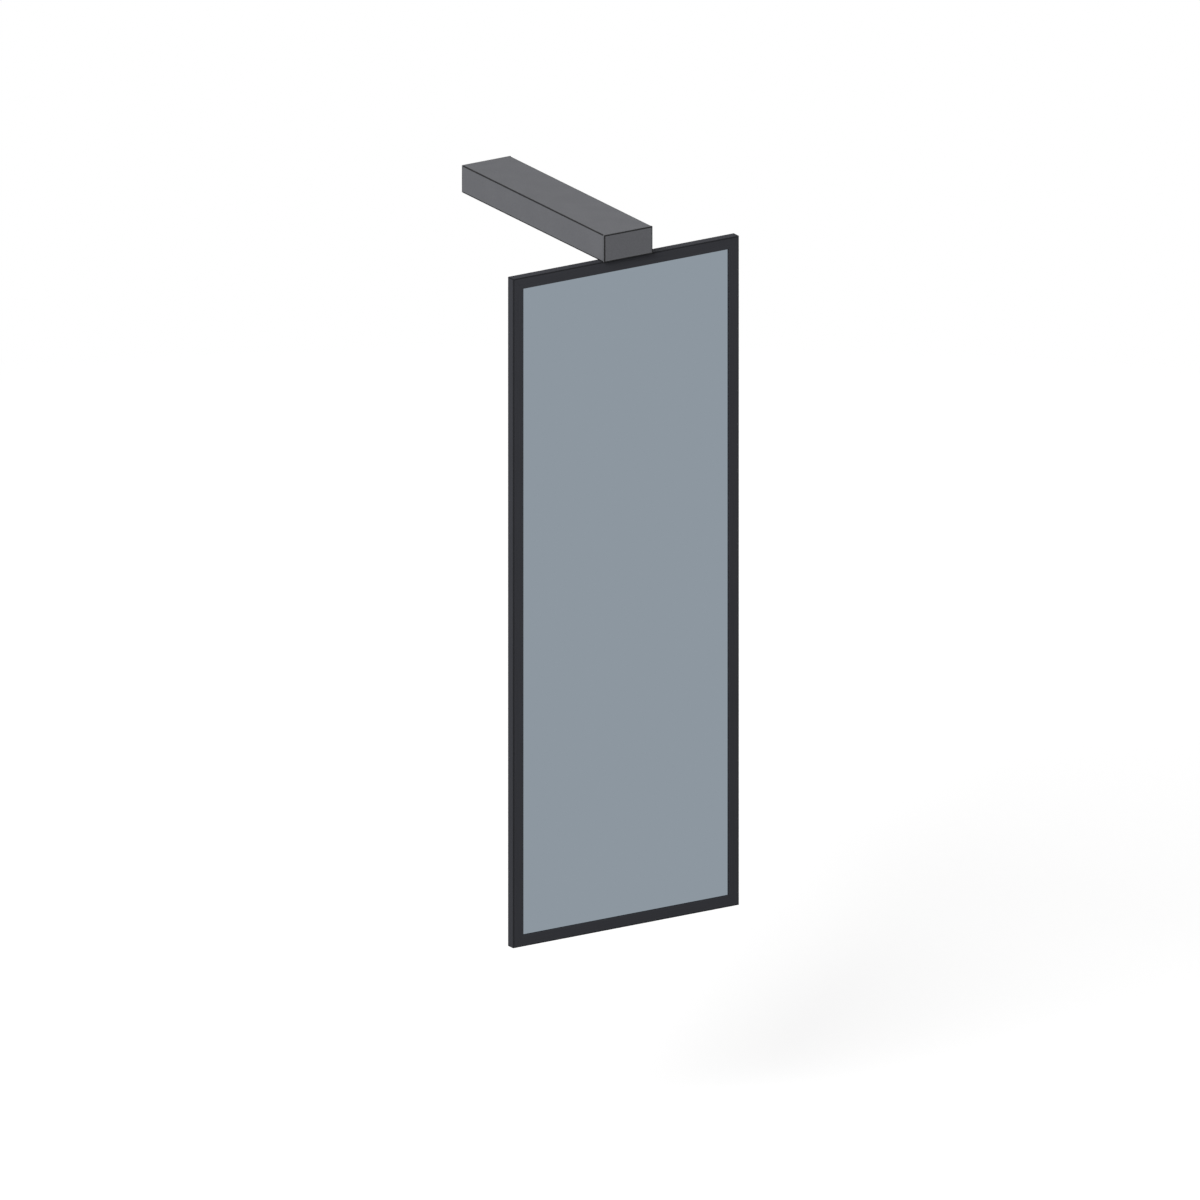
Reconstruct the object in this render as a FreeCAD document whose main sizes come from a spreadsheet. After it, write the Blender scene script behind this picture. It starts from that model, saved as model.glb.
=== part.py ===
import FreeCAD, Part
import math
import os
from types import SimpleNamespace

import Sketcher

# Pull out closet mirror. A steel housing screws to the underside of a shelf. Two telescopic slides
# inside it carry a channel, and a framed mirror hangs from a swivel at the channel's front end.
#
# Lengths are millimetres. The origin is the centre of the housing's mounting face. +X points right,
# +Y into the closet and +Z up, so the mirror faces -Y with the slide closed.

Vector = FreeCAD.Vector

SIZES = {
    # Housing: a folded steel channel, open below.
    "case_width": 76.2,
    "case_height": 38.1,
    "case_wall": 1.5,
    "case_bend": 1.2,
    "mount_hole": 5.5,
    "mount_inset_x": 22.1,
    "mount_inset_y": 48.5,
    # Moulded end caps.
    "front_cap_thickness": 3.5,
    "front_cap_gap": 0.5,
    "rear_cap_thickness": 3.0,
    "cap_chamfer": 0.6,
    "cap_rim": 1.4,
    "cap_rim_wall": 1.5,
    "cap_rim_play": 0.5,
    "spigot_depth": 6.0,
    "spigot_wall": 2.0,
    "spigot_height": 30.0,
    "bumper_diameter": 8.0,
    "bumper_length": 3.0,
    "bumper_gap": 0.3,
    # Telescopic slides: three nested roll-formed rails each side.
    "rail_length": 344.0,
    "rail_height": 35.3,
    "rail_depth": 12.7,
    "rail_gauge": 1.2,
    "rail_bevel": 0.8,
    "rail_headroom": 0.9,
    "rail_front_gap": 1.5,
    "rail_rear_gap": 1.5,
    "web_gap": 1.2,
    "inner_web_gap": 0.4,
    "lip_gap": 0.55,
    "flange_gap": 0.6,
    "guide_gap": 0.3,
    "lug_length": 3.0,
    "travel": 330.0,
    "roller_diameter": 3.0,
    "roller_length": 2.5,
    "roller_play": 0.05,
    "roller_inset": 11.2,
    "pocket_play": 0.1,
    "cage_thickness": 2.4,
    # Carriage channel between the inner rails.
    "carriage_wall": 1.5,
    "carriage_height": 23.5,
    "carriage_headroom": 6.0,
    "window_length": 14.0,
    "window_edge": 1.9,
    "window_bevel": 2.0,
    # Bearing block at the carriage's front end.
    "block_length": 24.0,
    "block_height": 25.0,
    "block_chamfer": 1.5,
    "core_width": 10.0,
    "core_height": 14.0,
    "core_depth": 6.0,
    "pivot_setback": 9.5,
    "nut_pocket": 16.0,
    "nut_pocket_depth": 5.0,
    "block_screw": 4.0,
    "block_screw_length": 12.0,
    "block_screw_sink": 1.3,
    "block_screw_inset": 6.4,
    "tenon_width": 8.0,
    "tenon_height": 12.0,
    "tenon_length": 6.0,
    "tenon_end_gap": 0.5,
    "tenon_inset": 6.4,
    "tenon_drop": 16.0,
    # Swivel.
    "bush_bore": 8.0,
    "bush_outside": 10.0,
    "bush_length": 8.0,
    "bush_flange": 15.0,
    "bush_flange_thickness": 1.0,
    "running_gap": 0.05,
    "collar_gap": 0.3,
    "collar_hub": 11.6,
    "collar_outside": 18.0,
    "stop_pin": 3.0,
    "stop_pin_radius": 7.5,
    "stop_pin_play": 0.2,
    "stop_pin_depth": 6.0,
    "stop_pin_reach": 4.5,
    "washer_play": 0.2,
    "washer_outside": 14.6,
    "thrust_washer_thickness": 1.0,
    "wave_washer_thickness": 0.6,
    "nut_across_flats": 13.0,
    "nut_height": 5.0,
    "thread_end": 0.8,
    # Mirror and its frame of mitred aluminium extrusions.
    "mirror_width": 355.6,
    "mirror_height": 939.8,
    "mirror_depth": 14.0,
    "mirror_gap": 1.0,
    "frame_face": 16.0,
    "frame_back": 10.0,
    "frame_wall": 1.5,
    "frame_lip": 1.2,
    "frame_bevel": 0.6,
    "glass_thickness": 4.0,
    "glass_edge_gap": 1.0,
    "film_thickness": 0.3,
    "gasket_thickness": 0.6,
    "gasket_slack": 0.05,
    "gasket_setback": 0.3,
    "panel_thickness": 3.0,
    "panel_slack": 0.05,
    "panel_edge_gap": 0.5,
    # Corner keys and hanger bar inside the extrusions.
    "key_play": 0.1,
    "key_leg": 40.0,
    "hanger_length": 160.0,
    "stud_diameter": 8.0,
    "stud_length": 7.6,
    "stud_hole_play": 0.25,
}
ROLLERS_PER_ROW = 3


class Size(float):
    """A length that remembers the spreadsheet formula it was worked out with."""

    def __new__(cls, value, formula=None):
        size = super().__new__(cls, value)
        size.formula = formula or f"{value:g}"
        return size

    def joined(self, sign, other, value):
        return Size(value, f"({self.formula} {sign} {sized(other).formula})")

    def __add__(self, other):
        return self.joined("+", other, float(self) + float(other))

    def __sub__(self, other):
        return self.joined("-", other, float(self) - float(other))

    def __mul__(self, other):
        return self.joined("*", other, float(self) * float(other))

    def __truediv__(self, other):
        return self.joined("/", other, float(self) / float(other))

    def __radd__(self, other):
        return sized(other) + self

    def __rsub__(self, other):
        return sized(other) - self

    def __rmul__(self, other):
        return sized(other) * self

    def __neg__(self):
        return Size(0) - self


def sized(value):
    """Return value as a Size, whether it comes from the sheet or is a plain number."""
    return value if isinstance(value, Size) else Size(value)


def bind(thing, name, size):
    """Set a property to a size and tie it to the sheet."""
    thing.setExpression(name, sized(size).formula)


# ---------------------------------------------------------------------------------------------
# The document and its sheet
# ---------------------------------------------------------------------------------------------
doc = FreeCAD.newDocument("PullOutClosetMirror")
sheet = doc.addObject("Spreadsheet::Sheet", "Sizes")
for row, (alias, number) in enumerate(SIZES.items(), start=1):
    sheet.set(f"A{row}", f"{number:g}")
    sheet.setAlias(f"A{row}", alias)
doc.recompute()
mm = SimpleNamespace(**{alias: Size(number, f"Sizes.{alias}") for alias, number in SIZES.items()})
PARTS = []


# ---------------------------------------------------------------------------------------------
# Features
# ---------------------------------------------------------------------------------------------
def new_body(label, x=0, y=0, z=0, axis=(0, 0, 1), degrees=0):
    """Start a sub-part whose own origin lies at x, y, z, turned about an axis through it."""
    body = doc.addObject("PartDesign::Body", label)
    body.Label = label
    body.AllowCompound = True
    body.Placement = FreeCAD.Placement(Vector(x, y, z), FreeCAD.Rotation(Vector(*axis), degrees))
    for name, place in zip("xyz", (x, y, z)):
        bind(body, f".Placement.Base.{name}", place)
    PARTS.append(body)
    return body


def origin_feature(body, role):
    """Return the body's own origin plane or axis of that role."""
    return next(item for item in body.Origin.OriginFeatures if item.Role == role)


def new_sketch(body, role, offset=0):
    """Start a sketch on an origin plane, moved by offset along the plane's normal.

    The sketch's axes are X, Y on XY_Plane (normal +Z), X, Z on XZ_Plane (normal -Y) and
    Y, Z on YZ_Plane (normal +X).
    """
    sketch = body.newObject("Sketcher::SketchObject", "Sketch")
    sketch.AttachmentSupport = [(origin_feature(body, role), "")]
    sketch.MapMode = "FlatFace"
    sketch.AttachmentOffset = FreeCAD.Placement(Vector(0, 0, offset), FreeCAD.Rotation())
    bind(sketch, "AttachmentOffset.Base.z", offset)
    return sketch


def hold(sketch, geometry, point, place):
    """Tie a point of the sketch to its two distances from the sketch's origin."""
    for kind, distance in zip(("DistanceX", "DistanceY"), place):
        index = sketch.addConstraint(
            Sketcher.Constraint(kind, -1, 1, geometry, point, float(distance))
        )
        bind(sketch, f"Constraints[{index}]", distance)


def outline(sketch, corners):
    """Draw a closed outline of straight edges through the corners."""
    first = sketch.GeometryCount
    count = len(corners)
    points = [Vector(float(a), float(b), 0) for a, b in corners]
    for index in range(count):
        sketch.addGeometry(Part.LineSegment(points[index], points[(index + 1) % count]))
    joins = [
        Sketcher.Constraint("Coincident", first + index, 2, first + (index + 1) % count, 1)
        for index in range(count)
    ]
    sketch.addConstraint(joins)
    for index, corner in enumerate(corners):
        hold(sketch, first + index, 1, corner)


def rectangle(sketch, left, right, low, high):
    """Draw an upright rectangle."""
    outline(sketch, [(left, low), (right, low), (right, high), (left, high)])


def circle(sketch, centre, diameter):
    """Draw a circle."""
    middle = Vector(float(centre[0]), float(centre[1]), 0)
    index = sketch.addGeometry(Part.Circle(middle, Vector(0, 0, 1), float(diameter) / 2))
    hold(sketch, index, 3, centre)
    constraint = sketch.addConstraint(Sketcher.Constraint("Diameter", index, float(diameter)))
    bind(sketch, f"Constraints[{constraint}]", diameter)


def add_feature(sketch, kind):
    """Add a feature that uses the sketch as its profile."""
    doc.recompute()
    feature = sketch.getParentGeoFeatureGroup().newObject(f"PartDesign::{kind}", kind)
    feature.Profile = sketch
    sketch.Visibility = False
    return feature


def pad(sketch, length, symmetric=False, reverse=False):
    """Extrude the sketch along its normal, against it, or half to each side."""
    feature = add_feature(sketch, "Pad")
    feature.SideType = "Symmetric" if symmetric else "One side"
    feature.Reversed = reverse
    bind(feature, "Length", length)
    doc.recompute()
    return feature


def pocket(sketch, depth=None, reverse=False):
    """Cut the sketch right through its body, or depth deep against its normal."""
    body = sketch.getParentGeoFeatureGroup()
    before = body.Tip.Shape.Volume
    feature = add_feature(sketch, "Pocket")
    if depth is None:
        feature.SideType = "Symmetric"
        feature.Type = "ThroughAll"
    else:
        feature.Reversed = reverse
        bind(feature, "Length", depth)
    doc.recompute()
    if not feature.Shape.Volume < before:
        raise ValueError(f"{body.Label}: {feature.Label} cuts nothing")
    return feature


def revolve(sketch, axis="V_Axis", angle=360):
    """Turn the sketch about one of its axes, half of the angle to each side."""
    feature = add_feature(sketch, "Revolution")
    feature.ReferenceAxis = (sketch, [axis])
    feature.Midplane = True
    bind(feature, "Angle", angle)
    doc.recompute()
    return feature


def drill(body, role, centres, diameter, offset=0, depth=None, reverse=False):
    """Cut round holes across an origin plane: right through, or depth deep from offset."""
    holes = new_sketch(body, role, offset)
    for centre in centres:
        circle(holes, centre, diameter)
    return pocket(holes, depth, reverse)


def dress(body, kind, name, size, chosen):
    """Round or bevel the edges of a body that the chosen test accepts."""
    base = body.Tip
    names = [f"Edge{i}" for i, edge in enumerate(base.Shape.Edges, start=1) if chosen(edge)]
    if not names:
        raise ValueError(f"{body.Label}: no edge to dress")
    feature = body.newObject(f"PartDesign::{kind}", kind)
    feature.Base = (base, names)
    bind(feature, name, size)
    doc.recompute()
    return feature


def edge_runs_at(axis, places):
    """Return a test for straight edges along an axis that cross its plane at one of places."""
    along = "XYZ".index(axis)
    others = [index for index in range(3) if index != along]

    def chosen(edge):
        ends = [vertex.Point for vertex in edge.Vertexes]
        if len(ends) != 2 or not isinstance(edge.Curve, Part.Line):
            return False
        return any(
            all(abs(end[other] - float(value)) < 0.01 for end in ends
                for other, value in zip(others, place))
            for place in places
        )

    return chosen


def round_edges(body, radius, axis, places):
    """Fillet the straight edges that run along an axis at the places across it."""
    return dress(body, "Fillet", "Radius", radius, edge_runs_at(axis, places))


def bevel_edges(body, size, axis, places):
    """Bevel the straight edges that run along an axis at the places across it."""
    return dress(body, "Chamfer", "Size", size, edge_runs_at(axis, places))


def sink_holes(body, depth, diameter, axis, levels):
    """Countersink the mouths of round holes that open at the levels along an axis."""
    along = "XYZ".index(axis)

    def mouth(edge):
        if not isinstance(edge.Curve, Part.Circle):
            return False
        level = edge.Curve.Center[along]
        right_size = abs(edge.Curve.Radius - float(diameter) / 2) < 0.01
        return right_size and any(abs(level - float(value)) < 0.01 for value in levels)

    return dress(body, "Chamfer", "Size", depth, mouth)


def step_pattern(role, pitch, count):
    """Return a transform that repeats along an axis of the body at a pitch."""

    def build(body):
        pattern = doc.addObject("PartDesign::LinearPattern", "LinearPattern")
        pattern.Direction = (origin_feature(body, role), [""])
        pattern.Mode = "Spacing"
        bind(pattern, "Offset", pitch)
        pattern.Occurrences = count
        return pattern

    return build


def mirror_pattern(role):
    """Return a transform that mirrors across a plane of the body."""

    def build(body):
        mirror = doc.addObject("PartDesign::Mirrored", "Mirrored")
        mirror.MirrorPlane = (origin_feature(body, role), [""])
        return mirror

    return build


def repeat(body, feature, *transforms):
    """Repeat a feature by transforms applied one after another."""
    doc.recompute()
    group = body.newObject("PartDesign::MultiTransform", "MultiTransform")
    group.Originals = [feature]
    group.Transformations = [build(body) for build in transforms]
    body.Tip = group
    doc.recompute()
    return group


def evenly(count, pitch):
    """Return count places at a pitch, centred on zero."""
    return [pitch * (index - (count - 1) / 2) for index in range(count)]


def corners_of(spacing_x, spacing_y):
    """Return the four corners of a rectangle centred on zero."""
    return [(sx * spacing_x / 2, sy * spacing_y / 2) for sx in (-1, 1) for sy in (-1, 1)]


def folded_channel(body, half_width, top, bottom, wall, length, bend):
    """Make an inverted U of folded sheet, centred along Y."""
    section = new_sketch(body, "XZ_Plane")
    inside = half_width - wall
    outline(section, [
        (-half_width, bottom), (-inside, bottom), (-inside, top - wall), (inside, top - wall),
        (inside, bottom), (half_width, bottom), (half_width, top), (-half_width, top),
    ])
    pad(section, length, symmetric=True)
    round_edges(body, bend, "Y", [(-half_width, top), (half_width, top)])


def ring(label, place_y, base_z, inside, outside, height):
    """Make a plain washer or sleeve on the swivel axis."""
    body = new_body(label, y=place_y, z=base_z)
    section = new_sketch(body, "XY_Plane")
    circle(section, (0, 0), outside)
    circle(section, (0, 0), inside)
    pad(section, height)
    return body


# ---------------------------------------------------------------------------------------------
# Places worked out from the sizes
# ---------------------------------------------------------------------------------------------
inside_half = mm.case_width / 2 - mm.case_wall
channel_length = mm.rail_front_gap + mm.rail_length + mm.rail_rear_gap + mm.spigot_depth
channel_end = channel_length / 2
rail_middle = mm.rail_front_gap + mm.rail_length / 2 - channel_end
slide_middle = -(mm.case_wall + mm.rail_headroom + mm.rail_height / 2)
cap_back = -(channel_end + mm.front_cap_gap)
mount_spacing_x = mm.case_width - 2 * mm.mount_inset_x
mount_spacing_y = channel_length - 2 * mm.mount_inset_y

# Across a slide, depth runs from the housing's wall inward and height from the slide's middle.
# Each rail has one race per roller row: the outer row runs between outer and intermediate rails,
# the inner row between intermediate and inner rails.
row_height = mm.roller_diameter + 2 * mm.roller_play
outer_race = mm.rail_height / 2 - mm.rail_gauge
middle_race_top = outer_race - row_height
middle_race_bottom = middle_race_top - mm.rail_gauge
inner_race = middle_race_bottom - row_height
middle_web = mm.rail_gauge + mm.web_gap
hem_face = middle_web + 2 * mm.rail_gauge
outer_reach = mm.rail_depth - mm.rail_gauge - mm.guide_gap
outer_lip_face = outer_reach - mm.rail_gauge
middle_reach = mm.rail_depth - mm.rail_gauge - mm.flange_gap
middle_lip_face = middle_reach - mm.rail_gauge
inner_lip = middle_web + mm.rail_gauge + mm.inner_web_gap
inner_lip_face = inner_lip + mm.rail_gauge
cage_length = mm.rail_length - mm.travel / 2 - 2 * mm.lug_length - 2 * mm.guide_gap
roller_pitch = (cage_length - 2 * mm.roller_inset) / (ROLLERS_PER_ROW - 1)

carriage_half = inside_half - mm.rail_depth
carriage_top = -(mm.case_wall + mm.carriage_headroom)
carriage_rear = channel_end - mm.bumper_length - mm.bumper_gap
carriage_length = carriage_rear - cap_back
carriage_middle = (carriage_rear + cap_back) / 2
block_top = carriage_top - mm.carriage_wall
block_half = carriage_half - mm.carriage_wall
block_bottom = block_top - mm.block_height
block_middle = mm.block_length / 2 - mm.pivot_setback
block_screw_x = block_half - mm.block_screw_inset

pivot_y = cap_back + mm.pivot_setback
bush_seat = block_top - mm.nut_pocket_depth
thrust_seat = bush_seat + mm.bush_flange_thickness + mm.running_gap
wave_seat = thrust_seat + mm.thrust_washer_thickness
nut_seat = wave_seat + mm.wave_washer_thickness
shaft_diameter = mm.bush_bore - 2 * mm.running_gap

mirror_top = -(mm.case_height + mm.mirror_gap)
mirror_front = pivot_y - mm.mirror_depth / 2
mirror_middle = mirror_top - mm.mirror_height / 2
collar_height = block_bottom - mm.collar_gap - mirror_top
chamber_depth = mm.mirror_depth - 2 * mm.frame_wall
groove_depth = (mm.glass_thickness + mm.film_thickness
                + 2 * mm.gasket_thickness + 2 * mm.gasket_slack)
panel_groove = mm.frame_lip + groove_depth + mm.frame_lip
panel_groove_depth = mm.panel_thickness + 2 * mm.panel_slack
glass_front = mm.frame_lip + mm.gasket_slack + mm.gasket_thickness
glass_inset = mm.frame_back + mm.glass_edge_gap
key_depth = chamber_depth - 2 * mm.key_play
key_thickness = mm.frame_back - 2 * mm.frame_wall - 2 * mm.key_play
key_outside = mm.frame_wall + mm.key_play


# ---------------------------------------------------------------------------------------------
# Housing
# ---------------------------------------------------------------------------------------------
def housing_channel():
    """The channel that screws to the shelf, with the outer rails welded to its side walls."""
    body = new_body("housing_channel")
    folded_channel(body, mm.case_width / 2, sized(0), -mm.case_height, mm.case_wall,
                   channel_length, mm.case_bend)
    drill(body, "XY_Plane", corners_of(mount_spacing_x, mount_spacing_y), mm.mount_hole)


def rear_cap():
    """The plug of the housing's rear end: a plate with a U-shaped spigot in the channel."""
    body = new_body("rear_cap", y=channel_end)
    plate = new_sketch(body, "XZ_Plane")
    rectangle(plate, -mm.case_width / 2, mm.case_width / 2, -mm.case_height, 0)
    pad(plate, mm.rear_cap_thickness, reverse=True)
    bevel_cap(body, mm.rear_cap_thickness)
    spigot = new_sketch(body, "XZ_Plane")
    arch(spigot, sized(0), mm.spigot_wall)
    pad(spigot, mm.spigot_depth)


def arch(sketch, play, wall):
    """Draw a U of a given wall, open below, that fits in the channel with play all round."""
    outside = inside_half - play
    top = -(mm.case_wall + play)
    foot = -(mm.case_wall + mm.spigot_height)
    outline(sketch, [
        (-outside, foot), (wall - outside, foot), (wall - outside, top - wall),
        (outside - wall, top - wall), (outside - wall, foot), (outside, foot),
        (outside, top), (-outside, top),
    ])


def bevel_cap(body, face):
    """Bevel the edges of a cap's outer face."""

    def on_face(edge):
        return all(abs(vertex.Y - float(face)) < 0.01 for vertex in edge.Vertexes)

    dress(body, "Chamfer", "Size", mm.cap_chamfer, on_face)


def end_bumpers():
    """Two rubber buffers on the rear cap that meet the carriage's side walls as it closes."""
    body = new_body("end_bumpers", y=channel_end, z=slide_middle)
    section = new_sketch(body, "XZ_Plane")
    for side in (-1, 1):
        circle(section, (side * (carriage_half - mm.carriage_wall / 2), 0), mm.bumper_diameter)
    pad(section, mm.bumper_length)


# ---------------------------------------------------------------------------------------------
# Slides. A rail is drawn for the left side, with depth along X and height along Z. Every rail is
# the same above and below its middle, so half a turn about Y makes the right one.
# ---------------------------------------------------------------------------------------------
def slide_body(name, side):
    """Start a piece of the left or right slide, centred along the closed slide."""
    label = f"{name}_{'left' if side < 0 else 'right'}"
    half_turn = 0 if side < 0 else 180
    return new_body(label, side * inside_half, rail_middle, slide_middle, (0, 1, 0), half_turn)


def mirrored_outline(upper):
    """Return an outline from its upper half, listed from the web's outside to its inside."""
    lower = [(depth, -height) for depth, height in reversed(upper)]
    return upper + lower


def add_lugs(body, end, left, right, low, high):
    """Add the pair of lugs that stop a cage at the front (-1) or rear (+1) end of a rail."""
    lugs = new_sketch(body, "XZ_Plane", -end * mm.rail_length / 2)
    rectangle(lugs, left, right, low, high)
    rectangle(lugs, left, right, -high, -low)
    pad(lugs, mm.lug_length, reverse=end < 0)


def outer_rail(side):
    """The rail on the housing's wall: a C with turned-in lips and the outer race in its flanges."""
    body = slide_body("outer_rail", side)
    top = mm.rail_height / 2
    lip_end = middle_race_top + mm.lip_gap
    section = new_sketch(body, "XZ_Plane")
    outline(section, mirrored_outline([
        (sized(0), top), (outer_reach, top), (outer_reach, lip_end), (outer_lip_face, lip_end),
        (outer_lip_face, outer_race), (mm.rail_gauge, outer_race),
    ]))
    pad(section, mm.rail_length, symmetric=True)
    bends = [(depth, sign * top) for depth in (0, outer_reach) for sign in (-1, 1)]
    bevel_edges(body, mm.rail_bevel, "Y", bends)
    add_lugs(body, -1, hem_face + mm.guide_gap, outer_lip_face,
             middle_race_top + mm.guide_gap, outer_race)


def intermediate_rail(side):
    """The rail between: a web with hemmed edges and flanges that hold a race on each face."""
    body = slide_body("intermediate_rail", side)
    hem_top = outer_race - mm.lip_gap
    lip_end = inner_race + mm.lip_gap
    section = new_sketch(body, "XZ_Plane")
    outline(section, mirrored_outline([
        (middle_web, hem_top), (hem_face, hem_top), (hem_face, middle_race_top),
        (middle_reach, middle_race_top), (middle_reach, lip_end), (middle_lip_face, lip_end),
        (middle_lip_face, middle_race_bottom), (middle_web + mm.rail_gauge, middle_race_bottom),
    ]))
    pad(section, mm.rail_length, symmetric=True)
    bends = [
        (depth, sign * height) for sign in (-1, 1)
        for depth, height in ((middle_web, hem_top), (hem_face, hem_top), (middle_reach, middle_race_top))
    ]
    bevel_edges(body, mm.rail_bevel, "Y", bends)
    add_lugs(body, 1, hem_face, outer_lip_face - mm.guide_gap,
             middle_race_top, outer_race - mm.guide_gap)
    add_lugs(body, -1, inner_lip_face + mm.guide_gap, middle_lip_face,
             inner_race + mm.guide_gap, middle_race_bottom)


def inner_rail(side):
    """The rail on the carriage: a C that opens to the wall, with the inner race on its flanges."""
    body = slide_body("inner_rail", side)
    web = mm.rail_depth - mm.rail_gauge
    lip_end = middle_race_bottom - mm.lip_gap
    flange = inner_race - mm.rail_gauge
    section = new_sketch(body, "XZ_Plane")
    outline(section, mirrored_outline([
        (mm.rail_depth, inner_race), (inner_lip_face, inner_race), (inner_lip_face, lip_end),
        (inner_lip, lip_end), (inner_lip, flange), (web, flange),
    ]))
    pad(section, mm.rail_length, symmetric=True)
    bends = [
        (depth, sign * height) for sign in (-1, 1)
        for depth, height in ((mm.rail_depth, inner_race), (inner_lip, flange))
    ]
    bevel_edges(body, mm.rail_bevel, "Y", bends)
    add_lugs(body, 1, inner_lip_face, middle_lip_face - mm.guide_gap,
             inner_race, middle_race_bottom - mm.guide_gap)


def roller_row(name, side, left, right, level):
    """A cage and its rollers, above and below, in the space between two lips of a slide."""
    cage = slide_body(f"{name}_cage", side)
    strips = new_sketch(cage, "XZ_Plane")
    for sign in (-1, 1):
        middle = sign * level
        half = mm.cage_thickness / 2
        rectangle(strips, left + mm.guide_gap, right - mm.guide_gap, middle - half, middle + half)
    pad(strips, cage_length, symmetric=True)
    middle = (left + right) / 2
    half_width = mm.roller_length / 2 + mm.pocket_play
    half_length = mm.roller_diameter / 2 + mm.pocket_play
    pockets = new_sketch(cage, "XY_Plane")
    for y in evenly(ROLLERS_PER_ROW, roller_pitch):
        rectangle(pockets, middle - half_width, middle + half_width, y - half_length, y + half_length)
    pocket(pockets)

    rollers = slide_body(f"{name}_rollers", side)
    ends = new_sketch(rollers, "YZ_Plane", middle - mm.roller_length / 2)
    for y in evenly(ROLLERS_PER_ROW, roller_pitch):
        for sign in (-1, 1):
            circle(ends, (y, sign * level), mm.roller_diameter)
    pad(ends, mm.roller_length)


# ---------------------------------------------------------------------------------------------
# Carriage
# ---------------------------------------------------------------------------------------------
def carriage_channel():
    """The channel welded between the inner rails.

    Two windows in its web let a driver reach the mounting screws with the slide closed.
    """
    body = new_body("carriage_channel", y=carriage_middle)
    folded_channel(body, carriage_half, carriage_top, carriage_top - mm.carriage_height,
                   mm.carriage_wall, carriage_length, mm.carriage_wall)
    windows = new_sketch(body, "XY_Plane")
    for side in (-1, 1):
        bevelled_window(windows, side * mount_spacing_y / 2 - carriage_middle)
    pocket(windows)
    drill(body, "XY_Plane", [(0, pivot_y - carriage_middle)], mm.nut_pocket)
    drill(body, "XY_Plane", block_screw_places(pivot_y - carriage_middle), mm.block_screw)
    sink_holes(body, mm.block_screw_sink, mm.block_screw, "Z", [carriage_top])


def bevelled_window(sketch, middle):
    """Draw a window with cut corners under one pair of mounting holes."""
    half_width = block_half - mm.window_edge
    half_length = mm.window_length / 2
    short_width = half_width - mm.window_bevel
    short_length = half_length - mm.window_bevel
    front = [(-short_width, -half_length), (short_width, -half_length),
             (half_width, -short_length), (half_width, short_length)]
    rear = [(-x, -y) for x, y in front]
    outline(sketch, [(x, middle + y) for x, y in front + rear])


def block_screw_places(pivot):
    """Return the block screws' places for a body in which the pivot has that Y."""
    return [(side * block_screw_x, pivot + block_middle) for side in (-1, 1)]


def bearing_block():
    """The cast block that holds the swivel's bushes, with its origin on the swivel axis."""
    body = new_body("bearing_block", y=pivot_y, z=block_top)
    front = -mm.pivot_setback
    rear = mm.block_length - mm.pivot_setback
    plan = new_sketch(body, "XY_Plane")
    bevel = mm.block_chamfer
    outline(plan, [
        (-block_half, front), (block_half, front), (block_half, rear - bevel),
        (block_half - bevel, rear), (bevel - block_half, rear), (-block_half, rear - bevel),
    ])
    pad(plan, mm.block_height, reverse=True)
    drill(body, "XY_Plane", [(0, 0)], mm.nut_pocket, depth=mm.nut_pocket_depth)
    drill(body, "XY_Plane", [(0, 0)], mm.bush_outside)
    screw_depth = mm.block_screw_length - mm.carriage_wall
    drill(body, "XY_Plane", block_screw_places(0), mm.block_screw, depth=screw_depth)
    drill(body, "XY_Plane", [(0, mm.stop_pin_radius)], mm.stop_pin, offset=-mm.block_height,
          depth=mm.stop_pin_depth, reverse=True)
    sockets = new_sketch(body, "XZ_Plane", mm.pivot_setback)
    pair_of_blocks(sockets, block_top, mm.tenon_width, mm.tenon_height)
    pocket(sockets, mm.tenon_length + mm.tenon_end_gap)
    cores = new_sketch(body, "XZ_Plane", -rear)
    pair_of_blocks(cores, block_top, mm.core_width, mm.core_height)
    pocket(cores, mm.core_depth, reverse=True)


def pair_of_blocks(sketch, datum, width, height):
    """Draw two rectangles level with the front cap's tenons, for a body whose origin has that Z."""
    middle = carriage_top - mm.tenon_drop - datum
    for side in (-1, 1):
        centre = side * (block_half - mm.tenon_inset)
        rectangle(sketch, centre - width / 2, centre + width / 2,
                  middle - height / 2, middle + height / 2)


def upper_bush():
    """The flanged bush that carries the mirror's weight on its flange."""
    body = new_body("upper_bush", y=pivot_y, z=bush_seat)
    profile = new_sketch(body, "XZ_Plane")
    bore, outside, flange = mm.bush_bore / 2, mm.bush_outside / 2, mm.bush_flange / 2
    outline(profile, [
        (bore, -mm.bush_length), (outside, -mm.bush_length), (outside, 0), (flange, 0),
        (flange, mm.bush_flange_thickness), (bore, mm.bush_flange_thickness),
    ])
    revolve(profile)


def lower_bush():
    """The plain bush at the foot of the block's bore."""
    ring("lower_bush", pivot_y, block_bottom, mm.bush_bore, mm.bush_outside, mm.bush_length)


def block_screws():
    """Flat-head screws that hold the block under the carriage channel's web."""
    body = new_body("block_screws", x=-block_screw_x, y=pivot_y + block_middle, z=carriage_top)
    shank, sink = mm.block_screw / 2, mm.block_screw_sink
    profile = new_sketch(body, "XZ_Plane")
    outline(profile, [
        (0, 0), (shank + sink, 0), (shank, -sink), (shank, -mm.block_screw_length),
        (0, -mm.block_screw_length),
    ])
    repeat(body, revolve(profile), step_pattern("X_Axis", 2 * block_screw_x, 2))


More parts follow.
